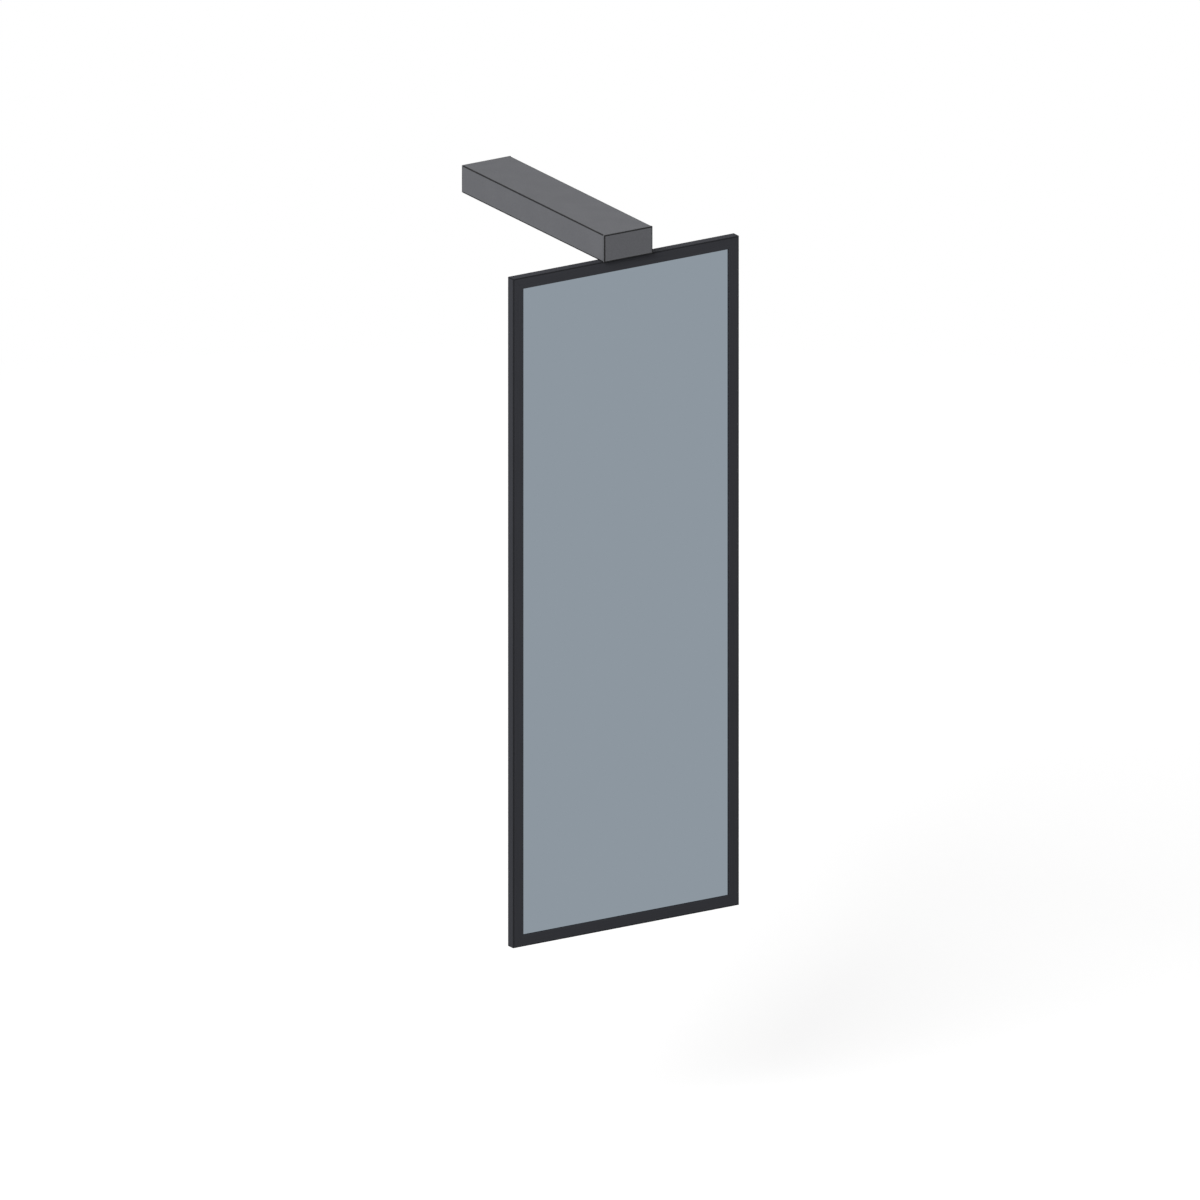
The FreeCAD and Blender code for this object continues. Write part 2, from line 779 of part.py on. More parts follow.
def front_cap():
    """The fascia that closes the housing.

    Two tenons press into the bearing block, and a rim centres it in the mouth of the channel.
    """
    body = new_body("front_cap", y=cap_back)
    plate = new_sketch(body, "XZ_Plane")
    rectangle(plate, -mm.case_width / 2, mm.case_width / 2, -mm.case_height, 0)
    pad(plate, mm.front_cap_thickness)
    bevel_cap(body, -mm.front_cap_thickness)
    rim = new_sketch(body, "XZ_Plane")
    arch(rim, mm.cap_rim_play, mm.cap_rim_wall)
    pad(rim, mm.cap_rim, reverse=True)
    tenons = new_sketch(body, "XZ_Plane")
    pair_of_blocks(tenons, 0, mm.tenon_width, mm.tenon_height)
    pad(tenons, mm.tenon_length, reverse=True)


def stop_pin():
    """The pin behind the swivel axis that the spindle's collar turns against."""
    length = mm.stop_pin_depth + mm.stop_pin_reach
    body = new_body("stop_pin", y=pivot_y + mm.stop_pin_radius, z=block_bottom - mm.stop_pin_reach)
    section = new_sketch(body, "XY_Plane")
    circle(section, (0, 0), mm.stop_pin)
    pad(section, length)


# ---------------------------------------------------------------------------------------------
# Swivel
# ---------------------------------------------------------------------------------------------
def collar_angle():
    """Return the arc of the collar's lug that leaves the mirror a quarter turn each way."""
    ratio = (mm.stop_pin / 2 + mm.stop_pin_play) / mm.stop_pin_radius
    degrees = 180 - 2 * math.degrees(math.asin(ratio))
    return Size(degrees, f"180 deg - 2 * asin({ratio.formula})")


def spindle():
    """The swivel's shaft, with a lugged collar below the block and a stud into the mirror."""
    body = new_body("spindle", y=pivot_y, z=mirror_top)
    shaft, stud, hub = shaft_diameter / 2, mm.stud_diameter / 2, mm.collar_hub / 2
    top = nut_seat + mm.nut_height + mm.thread_end - mirror_top
    profile = new_sketch(body, "XZ_Plane")
    outline(profile, [
        (0, -mm.stud_length), (stud, -mm.stud_length), (stud, 0), (hub, 0), (hub, collar_height),
        (shaft, collar_height), (shaft, top - mm.thread_end), (shaft - mm.thread_end, top), (0, top),
    ])
    revolve(profile)
    lug = new_sketch(body, "YZ_Plane")
    rectangle(lug, -mm.collar_outside / 2, -hub + mm.running_gap, 0, collar_height)
    revolve(lug, angle=collar_angle())


def swivel_washers():
    """The thrust washer, and the wave washer whose drag holds the mirror where it is turned to."""
    bore = shaft_diameter + 2 * mm.washer_play
    ring("thrust_washer", pivot_y, thrust_seat, bore, mm.washer_outside, mm.thrust_washer_thickness)
    ring("wave_washer", pivot_y, wave_seat, bore, mm.washer_outside, mm.wave_washer_thickness)


def lock_nut():
    """The hexagon nut on top of the spindle."""
    body = new_body("lock_nut", y=pivot_y, z=nut_seat)
    section = new_sketch(body, "XY_Plane")
    flat = mm.nut_across_flats / 2
    corner = flat / math.cos(math.radians(30))
    outline(section, [
        (-corner, 0), (-corner / 2, -flat), (corner / 2, -flat),
        (corner, 0), (corner / 2, flat), (-corner / 2, flat),
    ])
    circle(section, (0, 0), shaft_diameter)
    pad(section, mm.nut_height)


# ---------------------------------------------------------------------------------------------
# Mirror. A side of the frame is drawn along X with its outer face at local zero, its inner edge
# down and its front at Y zero, and is then turned about Y into its place round the mirror.
# ---------------------------------------------------------------------------------------------
FRAME_SIDES = {
    "top": (0, mm.mirror_width, (0, mirror_top)),
    "right": (90, mm.mirror_height, (mm.mirror_width / 2, mirror_middle)),
    "bottom": (180, mm.mirror_width, (0, mirror_top - mm.mirror_height)),
    "left": (-90, mm.mirror_height, (-mm.mirror_width / 2, mirror_middle)),
}


def frame_side(name, side, *outlines):
    """Extrude closed outlines of depth and inset along one side, and mitre both ends."""
    degrees, length, (x, z) = FRAME_SIDES[side]
    body = new_body(f"{name}_{side}", x, mirror_front, z, (0, 1, 0), degrees)
    section = new_sketch(body, "YZ_Plane")
    for corners in outlines:
        outline(section, [(depth, -inset) for depth, inset in corners])
    pad(section, length, symmetric=True)
    return body


def mitre(body, length):
    """Cut both ends of a side at 45 degrees through the frame's corners."""
    beyond = mm.frame_wall
    inset = mm.frame_face + beyond
    for sign in (-1, 1):
        corner = sign * length / 2
        cut = new_sketch(body, "XZ_Plane")
        outline(cut, [
            (corner + sign * beyond, beyond), (corner + sign * beyond, -inset),
            (corner - sign * inset, -inset),
        ])
        pocket(cut)


def frame_member(side):
    """An extrusion with a hollow chamber and two grooves, for the glass and the back panel."""
    face, back, wall, lip = mm.frame_face, mm.frame_back, mm.frame_wall, mm.frame_lip
    depth = mm.mirror_depth
    panel_rear = panel_groove + panel_groove_depth
    section = [
        (sized(0), sized(0)), (sized(0), face), (lip, face), (lip, back),
        (panel_groove - lip, back), (panel_groove - lip, face), (panel_groove, face),
        (panel_groove, back), (panel_rear, back), (panel_rear, face), (panel_rear + lip, face),
        (panel_rear + lip, back), (depth, back), (depth, sized(0)),
    ]
    chamber = [(wall, wall), (wall, back - wall), (depth - wall, back - wall), (depth - wall, wall)]
    body = frame_side("frame", side, section, chamber)
    bevel_edges(body, mm.frame_bevel, "X", [(0, 0), (depth, 0)])
    mitre(body, FRAME_SIDES[side][1])
    if side == "top":
        drill(body, "XY_Plane", [(0, depth / 2)], mm.stud_diameter + 2 * mm.stud_hole_play, depth=wall)


def glazing_gasket(side):
    """A rubber channel round one edge of the glass and its backing film."""
    thick = mm.gasket_thickness
    front = glass_front - thick
    rear = glass_front + mm.glass_thickness + mm.film_thickness + thick
    tip = mm.frame_face - mm.gasket_setback
    body = frame_side("gasket", side, [
        (front, glass_inset - thick), (front, tip), (front + thick, tip),
        (front + thick, glass_inset), (rear - thick, glass_inset), (rear - thick, tip),
        (rear, tip), (rear, glass_inset - thick),
    ])
    mitre(body, FRAME_SIDES[side][1])


def mirror_plate(label, inset, front, thickness):
    """Make a flat plate that is inset from the frame's outer edges."""
    body = new_body(label, y=mirror_front + front, z=mirror_middle)
    half_width = mm.mirror_width / 2 - inset
    half_height = mm.mirror_height / 2 - inset
    section = new_sketch(body, "XZ_Plane")
    rectangle(section, -half_width, half_width, -half_height, half_height)
    pad(section, thickness, reverse=True)


def mirror_panes():
    """The silvered glass and the safety film on its back."""
    mirror_plate("mirror_glass", glass_inset, glass_front, mm.glass_thickness)
    film_front = glass_front + mm.glass_thickness
    mirror_plate("safety_film", glass_inset, film_front, mm.film_thickness)


def back_panel():
    """The board behind the glass, held in the frame's second groove."""
    mirror_plate("back_panel", mm.frame_back + mm.panel_edge_gap, panel_groove + mm.panel_slack,
                 mm.panel_thickness)


def hanger_bar():
    """The steel bar in the top extrusion's chamber that the spindle's stud screws into."""
    body = new_body("hanger_bar", y=pivot_y, z=mirror_top - mm.frame_wall)
    half = mm.hanger_length / 2
    section = new_sketch(body, "XY_Plane")
    rectangle(section, -half, half, -key_depth / 2, key_depth / 2)
    pad(section, key_thickness, reverse=True)
    drill(body, "XY_Plane", [(0, 0)], mm.stud_diameter)


def corner_keys():
    """L-shaped keys pressed into the extrusions' chambers, one in each corner."""
    body = new_body("corner_keys", y=mirror_front + key_outside, z=mirror_middle)
    right = mm.mirror_width / 2 - key_outside
    top = mm.mirror_height / 2 - key_outside
    plan = new_sketch(body, "XZ_Plane")
    outline(plan, [
        (right, top), (right - mm.key_leg, top), (right - mm.key_leg, top - key_thickness),
        (right - key_thickness, top - key_thickness), (right - key_thickness, top - mm.key_leg),
        (right, top - mm.key_leg),
    ])
    key = pad(plan, key_depth, reverse=True)
    repeat(body, key, mirror_pattern("YZ_Plane"), mirror_pattern("XY_Plane"))


# ---------------------------------------------------------------------------------------------
# Build, check and write
# ---------------------------------------------------------------------------------------------
def build():
    """Make every sub-part, from the shelf down to the mirror."""
    housing_channel()
    rear_cap()
    end_bumpers()
    for side in (-1, 1):
        outer_rail(side)
        roller_row("outer", side, hem_face, outer_lip_face, outer_race - row_height / 2)
        intermediate_rail(side)
        roller_row("inner", side, inner_lip_face, middle_lip_face, middle_race_bottom - row_height / 2)
        inner_rail(side)
    carriage_channel()
    bearing_block()
    upper_bush()
    lower_bush()
    block_screws()
    front_cap()
    stop_pin()
    spindle()
    swivel_washers()
    lock_nut()
    hanger_bar()
    for side in FRAME_SIDES:
        frame_member(side)
        glazing_gasket(side)
    corner_keys()
    mirror_panes()
    back_panel()


def check():
    """Stop when any feature failed or any sub-part isn't a sound solid."""
    doc.recompute()
    for item in doc.Objects:
        if "Invalid" in item.State or "Error" in item.State:
            owner = item.getParentGeoFeatureGroup()
            place = owner.Label if owner else "the document"
            raise ValueError(f"{item.Label} in {place} failed: {item.State}")
    for body in PARTS:
        if body.Shape.isNull() or not body.Shape.isValid() or not body.Shape.Solids:
            raise ValueError(f"{body.Label} isn't a valid solid")


def write():
    """Write one STEP file for each sub-part."""
    os.makedirs("parts", exist_ok=True)
    for body in PARTS:
        body.Shape.exportStep(f"parts/{body.Label}.step")
        print(f"{body.Label}: {len(body.Shape.Solids)} solids, {body.Shape.Volume:.0f} mm3")


build()
check()
write()
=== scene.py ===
"""Pull out closet mirror: a housing under a shelf, two telescopic slides and a swivelling mirror.

Lengths are metres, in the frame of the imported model: +X right, +Y into the closet, +Z up, with
the origin at the centre of the housing's mounting face. The mirror faces -Y.
"""

import logging
import math
import sys
from collections.abc import Callable, Iterable, Sequence
from dataclasses import dataclass
from enum import Enum
from functools import cached_property
from itertools import product
from typing import Self

import bmesh
import bpy
from mathutils import Color, Matrix, Vector

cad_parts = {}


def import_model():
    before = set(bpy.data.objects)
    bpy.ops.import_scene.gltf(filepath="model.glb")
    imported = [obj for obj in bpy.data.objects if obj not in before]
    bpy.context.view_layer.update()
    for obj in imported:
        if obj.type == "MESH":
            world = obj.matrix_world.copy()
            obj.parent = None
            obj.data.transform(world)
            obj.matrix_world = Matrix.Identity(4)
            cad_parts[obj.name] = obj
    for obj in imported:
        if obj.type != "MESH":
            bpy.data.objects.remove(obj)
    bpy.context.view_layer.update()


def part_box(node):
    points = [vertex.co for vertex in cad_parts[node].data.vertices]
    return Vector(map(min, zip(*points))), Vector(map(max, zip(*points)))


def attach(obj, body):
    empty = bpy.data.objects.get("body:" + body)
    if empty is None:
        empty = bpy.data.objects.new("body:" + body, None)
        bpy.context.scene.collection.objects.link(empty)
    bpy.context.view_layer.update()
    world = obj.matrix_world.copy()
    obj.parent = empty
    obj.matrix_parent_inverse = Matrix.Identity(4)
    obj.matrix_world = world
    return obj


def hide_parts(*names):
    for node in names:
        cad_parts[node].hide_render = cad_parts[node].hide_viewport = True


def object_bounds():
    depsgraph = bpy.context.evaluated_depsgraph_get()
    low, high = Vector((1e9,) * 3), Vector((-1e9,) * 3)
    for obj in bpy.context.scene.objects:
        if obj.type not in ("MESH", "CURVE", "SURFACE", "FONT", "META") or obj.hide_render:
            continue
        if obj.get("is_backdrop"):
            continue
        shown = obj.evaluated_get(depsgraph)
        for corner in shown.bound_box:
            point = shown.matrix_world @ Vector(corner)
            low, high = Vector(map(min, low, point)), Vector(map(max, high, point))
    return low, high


MM = 0.001
NEAR = 0.001 * MM
SIDES = (-1, 1)
WHITE = (1.0, 1.0, 1.0, 1.0)
# The least angle of an edge, in degrees, on a piece that has rounded corners.
CURVED = 40.0
# How far a cut runs where it has to come out well beyond a piece.
THROUGH = 40.0 * MM
LOG = logging.getLogger("closet_mirror")

Pair = tuple[float, float]
Triple = tuple[float, float, float]
Socket = bpy.types.NodeSocket
FaceTest = Callable[[Vector, Vector], bool]
EdgeTest = Callable[[Vector, Vector], bool]


class Axis(Enum):
    """A direction along which a piece runs."""

    X = Vector((1, 0, 0))
    Y = Vector((0, 1, 0))
    Z = Vector((0, 0, 1))


class Body(Enum):
    """The rigid bodies that pieces ride on."""

    HOUSING = "housing"
    OUTER_CAGES = "outer_cages"
    INTERMEDIATE = "intermediate"
    INNER_CAGES = "inner_cages"
    CARRIAGE = "carriage"
    MIRROR = "mirror"


class Pattern(Enum):
    """The two patterns that a surface has, as the effects name them."""

    FINE = "Fine"
    BROAD = "Broad"


class Join(Enum):
    """The ways in which one solid is combined with another."""

    CUT = "DIFFERENCE"
    FUSE = "UNION"
    COMMON = "INTERSECT"


# ---- Shader trees ----
def linear(red: int, green: int, blue: int) -> tuple[float, ...]:
    """Turn an 8 bit screen colour into the linear colour that shaders use, with full alpha."""
    return *Color((red / 255, green / 255, blue / 255)).from_srgb_to_scene_linear(), 1.0


@dataclass
class Bench:
    """A node tree in which nodes are placed and joined."""

    tree: bpy.types.NodeTree

    def feed(self, node: bpy.types.Node, inputs: dict) -> bpy.types.Node:
        """Feed a node's inputs.

        Args:
            node: The node.
            inputs: Input names or numbers, each with a value or the output socket that feeds it.

        Returns:
            The same node.
        """
        for key, value in inputs.items():
            if isinstance(value, Socket):
                self.tree.links.new(value, node.inputs[key])
            else:
                node.inputs[key].default_value = value
        return node

    def node(self, kind: str, inputs: dict | None = None, **settings: object) -> bpy.types.Node:
        """Place a node.

        Args:
            kind: The node's type name after "ShaderNode".
            inputs: What feeds its inputs, as in feed.
            **settings: Properties of the node itself.

        Returns:
            The new node.
        """
        node = self.tree.nodes.new(f"ShaderNode{kind}")
        for name, value in settings.items():
            setattr(node, name, value)
        return self.feed(node, inputs or {})

    def math(self, operation: str, first: object, second: object = 0.0) -> Socket:
        """Join two values by arithmetic and return the result's socket."""
        return self.node("Math", {0: first, 1: second}, operation=operation).outputs[0]

    def vector(self, operation: str, first: object, second: object = (0, 0, 0),
               result: str = "Vector") -> Socket:
        """Join two vectors by arithmetic and return the result's socket."""
        return self.node("VectorMath", {0: first, 1: second}, operation=operation).outputs[result]

    def spread(self, value: object, low: float, high: float, start: float = 0.0,
               end: float = 1.0) -> Socket:
        """Map a value from low and high to start and end, clamped, and return its socket."""
        levels = {"Value": value, "From Min": low, "From Max": high, "To Min": start, "To Max": end}
        return self.node("MapRange", levels).outputs["Result"]

    def blend(self, share: object, first: object, second: object) -> Socket:
        """Mix two colours by a share and return the result's socket."""
        return self.node("Mix", {"Factor": share, 6: first, 7: second}, data_type="RGBA").outputs[2]

    def noise(self, place: object, scale: object, detail: float) -> Socket:
        """Place a noise pattern and return the socket of its value."""
        return self.node("TexNoise", {"Vector": place, "Scale": scale, "Detail": detail}).outputs[0]

    def stretched(self, place: object, scale: object) -> Socket:
        """Stretch a pattern's place along the axes and return its socket."""
        return self.node("Mapping", {"Vector": place, "Scale": scale}).outputs[0]

    def mix(self, share: object, first: Socket, second: Socket) -> Socket:
        """Mix two shaders by a share and return the result's socket."""
        return self.node("MixShader", {0: share, 1: first, 2: second}).outputs[0]

    def glow(self, strength: float, kind: str = "Emission") -> Socket:
        """Place a white glow of a strength and return its socket."""
        return self.node(kind, {"Color": WHITE, "Strength": strength}).outputs[0]


# ---- Effects that several finishes share ----
@dataclass(frozen=True)
class Effect:
    """A surface effect: a node group that is built once and placed in each material.

    Attributes:
        join: Joins the group's nodes. It takes the group's bench and its input sockets, and
            returns its output sockets by name.
        inputs: The type of each of the group's inputs, by name.
    """

    join: Callable[..., dict[str, Socket]]
    inputs: dict[str, str]

    @cached_property
    def group(self) -> bpy.types.NodeTree:
        """The node group, built the first time that it is placed."""
        tree = bpy.data.node_groups.new(self.join.__name__, "ShaderNodeTree")
        for name, kind in self.inputs.items():
            tree.interface.new_socket(name, in_out="INPUT", socket_type=f"NodeSocket{kind}")
        source = tree.nodes.new("NodeGroupInput").outputs
        made = self.join(Bench(tree), *(source[name] for name in self.inputs))
        for name in made:
            tree.interface.new_socket(name, in_out="OUTPUT", socket_type="NodeSocketFloat")
        Bench(tree).feed(tree.nodes.new("NodeGroupOutput"), made)
        return tree

    def __call__(self, bench: Bench, *values: object) -> dict[str, Socket]:
        """Place the group, with a value or socket for each input, and return its outputs."""
        node = bench.node("Group", dict(zip(self.inputs, values)), node_tree=self.group)
        return dict(node.outputs.items())


def effect(**inputs: str) -> Callable[[Callable], Effect]:
    """Return a decorator that makes an effect, with inputs of these types, of a function."""
    return lambda join: Effect(join, inputs)


@effect(Place="Vector", Scale="Float")
def mottle(bench: Bench, place: Socket, scale: Socket) -> dict[str, Socket]:
    """Join uneven tone: broad clouds and a fine speckle, each from 0 to 1.

    Args:
        bench: The group's tree.
        place: The place on the piece.
        scale: The cells per metre.

    Returns:
        The sockets of the two patterns.
    """
    clouds = bench.noise(place, bench.math("MULTIPLY", scale, 0.04), 2.0)
    return {"Broad": bench.spread(clouds, 0.3, 0.7),
            "Fine": bench.spread(bench.noise(place, scale, 4.0), 0.35, 0.65)}


@effect(Place="Vector", Scale="Vector")
def grain(bench: Bench, place: Socket, scale: Socket) -> dict[str, Socket]:
    """Join long fine lines along the axis with the small scale, and broad patches.

    Args:
        bench: The group's tree.
        place: The place on the piece.
        scale: The lines per metre across each axis.

    Returns:
        The sockets of the two patterns.
    """
    lines = bench.noise(bench.stretched(place, scale), 1.0, 5.0)
    return {"Fine": bench.spread(lines, 0.3, 0.7),
            "Broad": bench.spread(bench.noise(place, 14.0, 3.0), 0.3, 0.7)}


@effect(Place="Vector", Scale="Float")
def pebbles(bench: Bench, place: Socket, scale: Socket) -> dict[str, Socket]:
    """Join the height of a pebbled skin, such as orange peel, spark texture or cast skin.

    Args:
        bench: The group's tree.
        place: The place on the piece.
        scale: The pebbles per metre.

    Returns:
        The height's socket.
    """
    cells = bench.node("TexVoronoi", {"Vector": place, "Scale": scale, "Smoothness": 0.8},
                       feature="SMOOTH_F1").outputs["Distance"]
    return {"Height": bench.math("ADD", bench.math("MULTIPLY", cells, 0.6),
                                 bench.math("MULTIPLY", bench.noise(place, scale, 3.0), 0.4))}


@effect(Reach="Float")
def edges(bench: Bench, reach: Socket) -> dict[str, Socket]:
    """Join a mask that is 1 along a piece's edges and 0 on its faces.

    Args:
        bench: The group's tree.
        reach: How far the mask reaches from an edge.

    Returns:
        The mask's socket.
    """
    rounded = bench.node("Bevel", {"Radius": reach}, samples=6).outputs[0]
    flat = bench.node("NewGeometry").outputs["Normal"]
    return {"Mask": bench.spread(bench.vector("DOT_PRODUCT", rounded, flat, "Value"), 0.995, 0.86)}


@effect(Place="Vector", Centre="Vector", Half="Vector", Reach="Float", Along="Float")
def painted_outline_shade(bench: Bench, place: Socket, centre: Socket, half: Socket, reach: Socket,
            along: Socket) -> dict[str, Socket]:
    """Join the mask for painted shade, a dark outline: 1 along the outer edges of a box, where its
    faces meet.

    Args:
        bench: The group's tree.
        place: The place on the piece.
        centre: The centre of the box.
        half: Half its size.
        reach: How far the mask reaches from an edge.
        along: 1 for all edges, and 0 to leave out those that run along Y.

    Returns:
        The mask's socket.
    """
    offset = bench.vector("ABSOLUTE", bench.vector("SUBTRACT", place, centre))
    x, y, z = bench.node("SeparateXYZ", {0: bench.vector("SUBTRACT", half, offset)}).outputs
    middle = bench.math("MAXIMUM", bench.math("MINIMUM", x, y),
                        bench.math("MINIMUM", bench.math("MAXIMUM", x, y), z))
    ends = bench.math("MAXIMUM", y, bench.math("MINIMUM", x, z))
    depth = bench.node("Mix", {0: along, 2: ends, 3: middle}).outputs[0]
    return {"Mask": bench.spread(bench.math("DIVIDE", depth, reach), 1.0, 0.85)}


@effect(Place="Vector")
def dust(bench: Bench, place: Socket) -> dict[str, Socket]:
    """Join a mask of loose dust on what faces up.

    Args:
        bench: The group's tree.
        place: The place on the piece.

    Returns:
        The mask's socket.
    """
    normal = bench.node("NewGeometry").outputs["Normal"]
    upward = bench.spread(bench.node("SeparateXYZ", {0: normal}).outputs["Z"], 0.4, 1.0)
    drift = bench.spread(bench.noise(place, 35.0, 6.0), 0.42, 0.72)
    return {"Mask": bench.math("MULTIPLY", upward, drift)}


# ---- Finishes ----
@dataclass(frozen=True)
class Finish:
    """How a surface is made and looks. Kinds of finish differ in their numbers and patterns.

    Attributes:
        name: The material's name.
        slot: The record's material slot; not used.
        colour: The screen colour of the surface, 8 bits a channel.
        roughness: The middle of the surface's roughness.
        metallic: 1 for bare metal and 0 for paint, plastic or board.
        specular: The strength of the reflection of a surface that isn't metal.
        cells: The patterns' scale, in cells per metre.
        tone: The pattern that varies how bright the surface is.
        tones: How bright the surface is at that pattern's two ends, where 1 is its colour.
        clouds: The share of the broad pattern laid over it, and how bright the surface is there.
        gloss: The pattern that varies the roughness.
        glosses: What that pattern's two ends add to the roughness.
        skin: The pebbles per metre of the relief, or 0 where the fine pattern is the relief.
        depth: How deep the relief is.
        relief: How strongly it shows, from 0 to 1.
        box: The low and high corner of the assembly whose outer edges take painted shade, a dark
            outline, if any do.
        arris_shade: How bright the surface is along its edges, if they differ; along a box's edges it
            is painted shade.
        arris_reach: How far the edges' shade reaches.
        arris_along: Whether the edges of the box that run along Y take the painted shade too.
        film_share: How far a film, such as dust, hides the colour.
        film_colour: The film's screen colour.
        film_roughness: What the film adds to the roughness.
    """

    name: str
    slot: str
    colour: tuple[int, int, int]
    roughness: float
    metallic: float = 0.0
    specular: float = 0.5
    cells: float = 500.0
    tone: Pattern = Pattern.FINE
    tones: Pair = (1.0, 1.0)
    clouds: Pair | None = None
    gloss: Pattern = Pattern.FINE
    glosses: Pair = (0.0, 0.0)
    skin: float = 0.0
    depth: float = 0.0
    relief: float = 0.5
    box: tuple[Vector, Vector] | None = None
    arris_shade: float | None = None
    arris_reach: float = 1.1 * MM
    arris_along: bool = True
    film_share: float = 0.0
    film_colour: tuple[int, int, int] = (176, 172, 164)
    film_roughness: float = 0.2

    @cached_property
    def material(self) -> bpy.types.Material:
        """The material, built the first time that it is asked for."""
        material = bpy.data.materials.new(self.name)
        material.use_nodes = True
        material.diffuse_color = linear(*self.colour)
        bench = Bench(material.node_tree)
        place = bench.node("TexCoord").outputs["Object"]
        patterns = self.patterns(bench, place)
        body = bench.blend(patterns[self.tone.value], *map(self.shade, self.tones))
        if self.clouds:
            share = bench.math("MULTIPLY", patterns[Pattern.BROAD.value], self.clouds[0])
            body = bench.blend(share, body, self.shade(self.clouds[1]))
        # Edges take their own tone; along a box's outer edges, on the case and the frame, this is
        # painted shade that draws a dark outline.
        if self.arris_shade is not None:
            body = bench.blend(self.arris(bench, place), body, self.shade(self.arris_shade))
        rough = bench.spread(patterns[self.gloss.value], 0, 1,
                             *(self.roughness + change for change in self.glosses))
        if self.film_share:
            film = self.film(bench, place)
            body = bench.blend(bench.math("MULTIPLY", film, self.film_share), body,
                               linear(*self.film_colour))
            rough = bench.math("ADD", rough, bench.math("MULTIPLY", film, self.film_roughness))
        surface = {"Base Color": body, "Roughness": rough, "Metallic": self.metallic,
                   "Specular IOR Level": self.specular}
        if self.depth:
            height = patterns[Pattern.FINE.value]
            if self.skin:
                height = pebbles(bench, place, self.skin)["Height"]
            bump = {"Height": height, "Distance": self.depth, "Strength": self.relief}
            surface["Normal"] = bench.node("Bump", bump).outputs[0]
        bench.feed(material.node_tree.nodes["Principled BSDF"], surface)
        return material

    def patterns(self, bench: Bench, place: Socket) -> dict[str, Socket]:
        """Return the sockets of the surface's fine and broad pattern."""
        return mottle(bench, place, self.cells)

    def film(self, bench: Bench, place: Socket) -> Socket:
        """Return the socket of the mask of what lies on the surface, which is dust."""
        return dust(bench, place)["Mask"]

    def arris(self, bench: Bench, place: Socket) -> Socket:
        """Return the mask along the edges; along a box's edges it places painted shade.

        Args:
            bench: The material's tree.
            place: The place on the piece.

        Returns:
            The mask's socket, along the edges of the box or, without one, of the piece itself.
        """
        if self.box is None:
            return edges(bench, self.arris_reach)["Mask"]
        low, high = self.box
        return painted_outline_shade(bench, place, (low + high) / 2, (high - low) / 2, self.arris_reach,
                       float(self.arris_along))["Mask"]

    def shade(self, factor: float) -> tuple[float, ...]:
        """Return the finish's colour, lighter or darker by a factor."""
        *channels, alpha = linear(*self.colour)
        return *(min(channel * factor, 1.0) for channel in channels), alpha


@dataclass(frozen=True)
class PowderCoat(Finish):
    """Satin powder coat with orange peel, painted shade along the case's outer edges, and dust on
    what faces up.
    """

    cells: float = 700.0
    tones: Pair = (0.94, 1.06)
    clouds: Pair | None = (0.3, 0.97)
    gloss: Pattern = Pattern.BROAD
    glosses: Pair = (-0.04, 0.05)
    skin: float = 900.0
    depth: float = 0.03 * MM
    film_share: float = 0.018
    film_roughness: float = 0.03


@dataclass(frozen=True)
class Moulded(Finish):
    """Moulded plastic with a spark-eroded texture, polished where it is handled at its edges; on the
    caps the case's outer edges take painted shade instead.
    """

    tones: Pair = (0.95, 1.05)
    gloss: Pattern = Pattern.BROAD
    glosses: Pair = (-0.03, 0.05)
    skin: float = 1600.0
    depth: float = 0.04 * MM
    arris_shade: float | None = 1.0


@dataclass(frozen=True)
class Rubber(Finish):
    """Matt black rubber with a bloom and a fine moulded grain."""

    specular: float = 0.3
    cells: float = 900.0
    tone: Pattern = Pattern.BROAD
    tones: Pair = (0.8, 1.3)
    glosses: Pair = (-0.08, 0.05)
    depth: float = 0.01 * MM
    relief: float = 0.3


@dataclass(frozen=True)
class RolledMetal(Finish):
    """Rolled, drawn or extruded metal, with lines along its length and worn edges; on the frame,
    painted shade along the outer edges takes the place of wear.

    Attributes:
        lines: Lines per metre across each axis; the smallest is along the metal.
    """

    metallic: float = 1.0
    lines: Triple = (2500.0, 25.0, 2500.0)
    tones: Pair = (0.88, 1.1)
    clouds: Pair | None = (0.35, 0.84)
    glosses: Pair = (-0.08, 0.08)
    depth: float = 0.004 * MM
    arris_shade: float | None = 1.25
    arris_reach: float = 0.25 * MM

    def patterns(self, bench: Bench, place: Socket) -> dict[str, Socket]:
        """Return the sockets of the metal's lines and patches."""
        return grain(bench, place, self.lines)


@dataclass(frozen=True)
class CastMetal(Finish):
    """Die-cast or sintered metal with a pebbled skin and polished edges."""

    metallic: float = 1.0
    cells: float = 800.0
    tones: Pair = (0.84, 1.1)
    clouds: Pair | None = (0.4, 0.82)
    glosses: Pair = (0.1, -0.1)
    skin: float = 1100.0
    depth: float = 0.06 * MM
    relief: float = 0.7
    arris_shade: float | None = 1.2
    arris_reach: float = 0.35 * MM


@dataclass(frozen=True)
class SilveredGlass(Finish):
    """Float glass silvered on its back and tinted grey-blue, with wipe marks and green rims.

    Attributes:
        wipes: The stretch of the wipe marks along each axis.
        rim: How far the green of the glass itself reaches in from its rims.
    """

    metallic: float = 1.0
    tones: Pair = (1.0, 1.003)
    glosses: Pair = (0.0, 0.012)
    film_share: float = 1.0
    film_colour: tuple[int, int, int] = (74, 98, 92)
    wipes: Triple = (14.0, 1.0, 3.0)
    rim: float = 0.6 * MM

    def patterns(self, bench: Bench, place: Socket) -> dict[str, Socket]:
        """Return the socket of the wipe marks."""
        marks = bench.noise(bench.stretched(place, self.wipes), 1.0, 4.0)
        return {Pattern.FINE.value: bench.spread(marks, 0.45, 0.8)}

    def film(self, bench: Bench, place: Socket) -> Socket:
        """Return the socket of the mask along the pane's rims."""
        return edges(bench, self.rim)["Mask"]


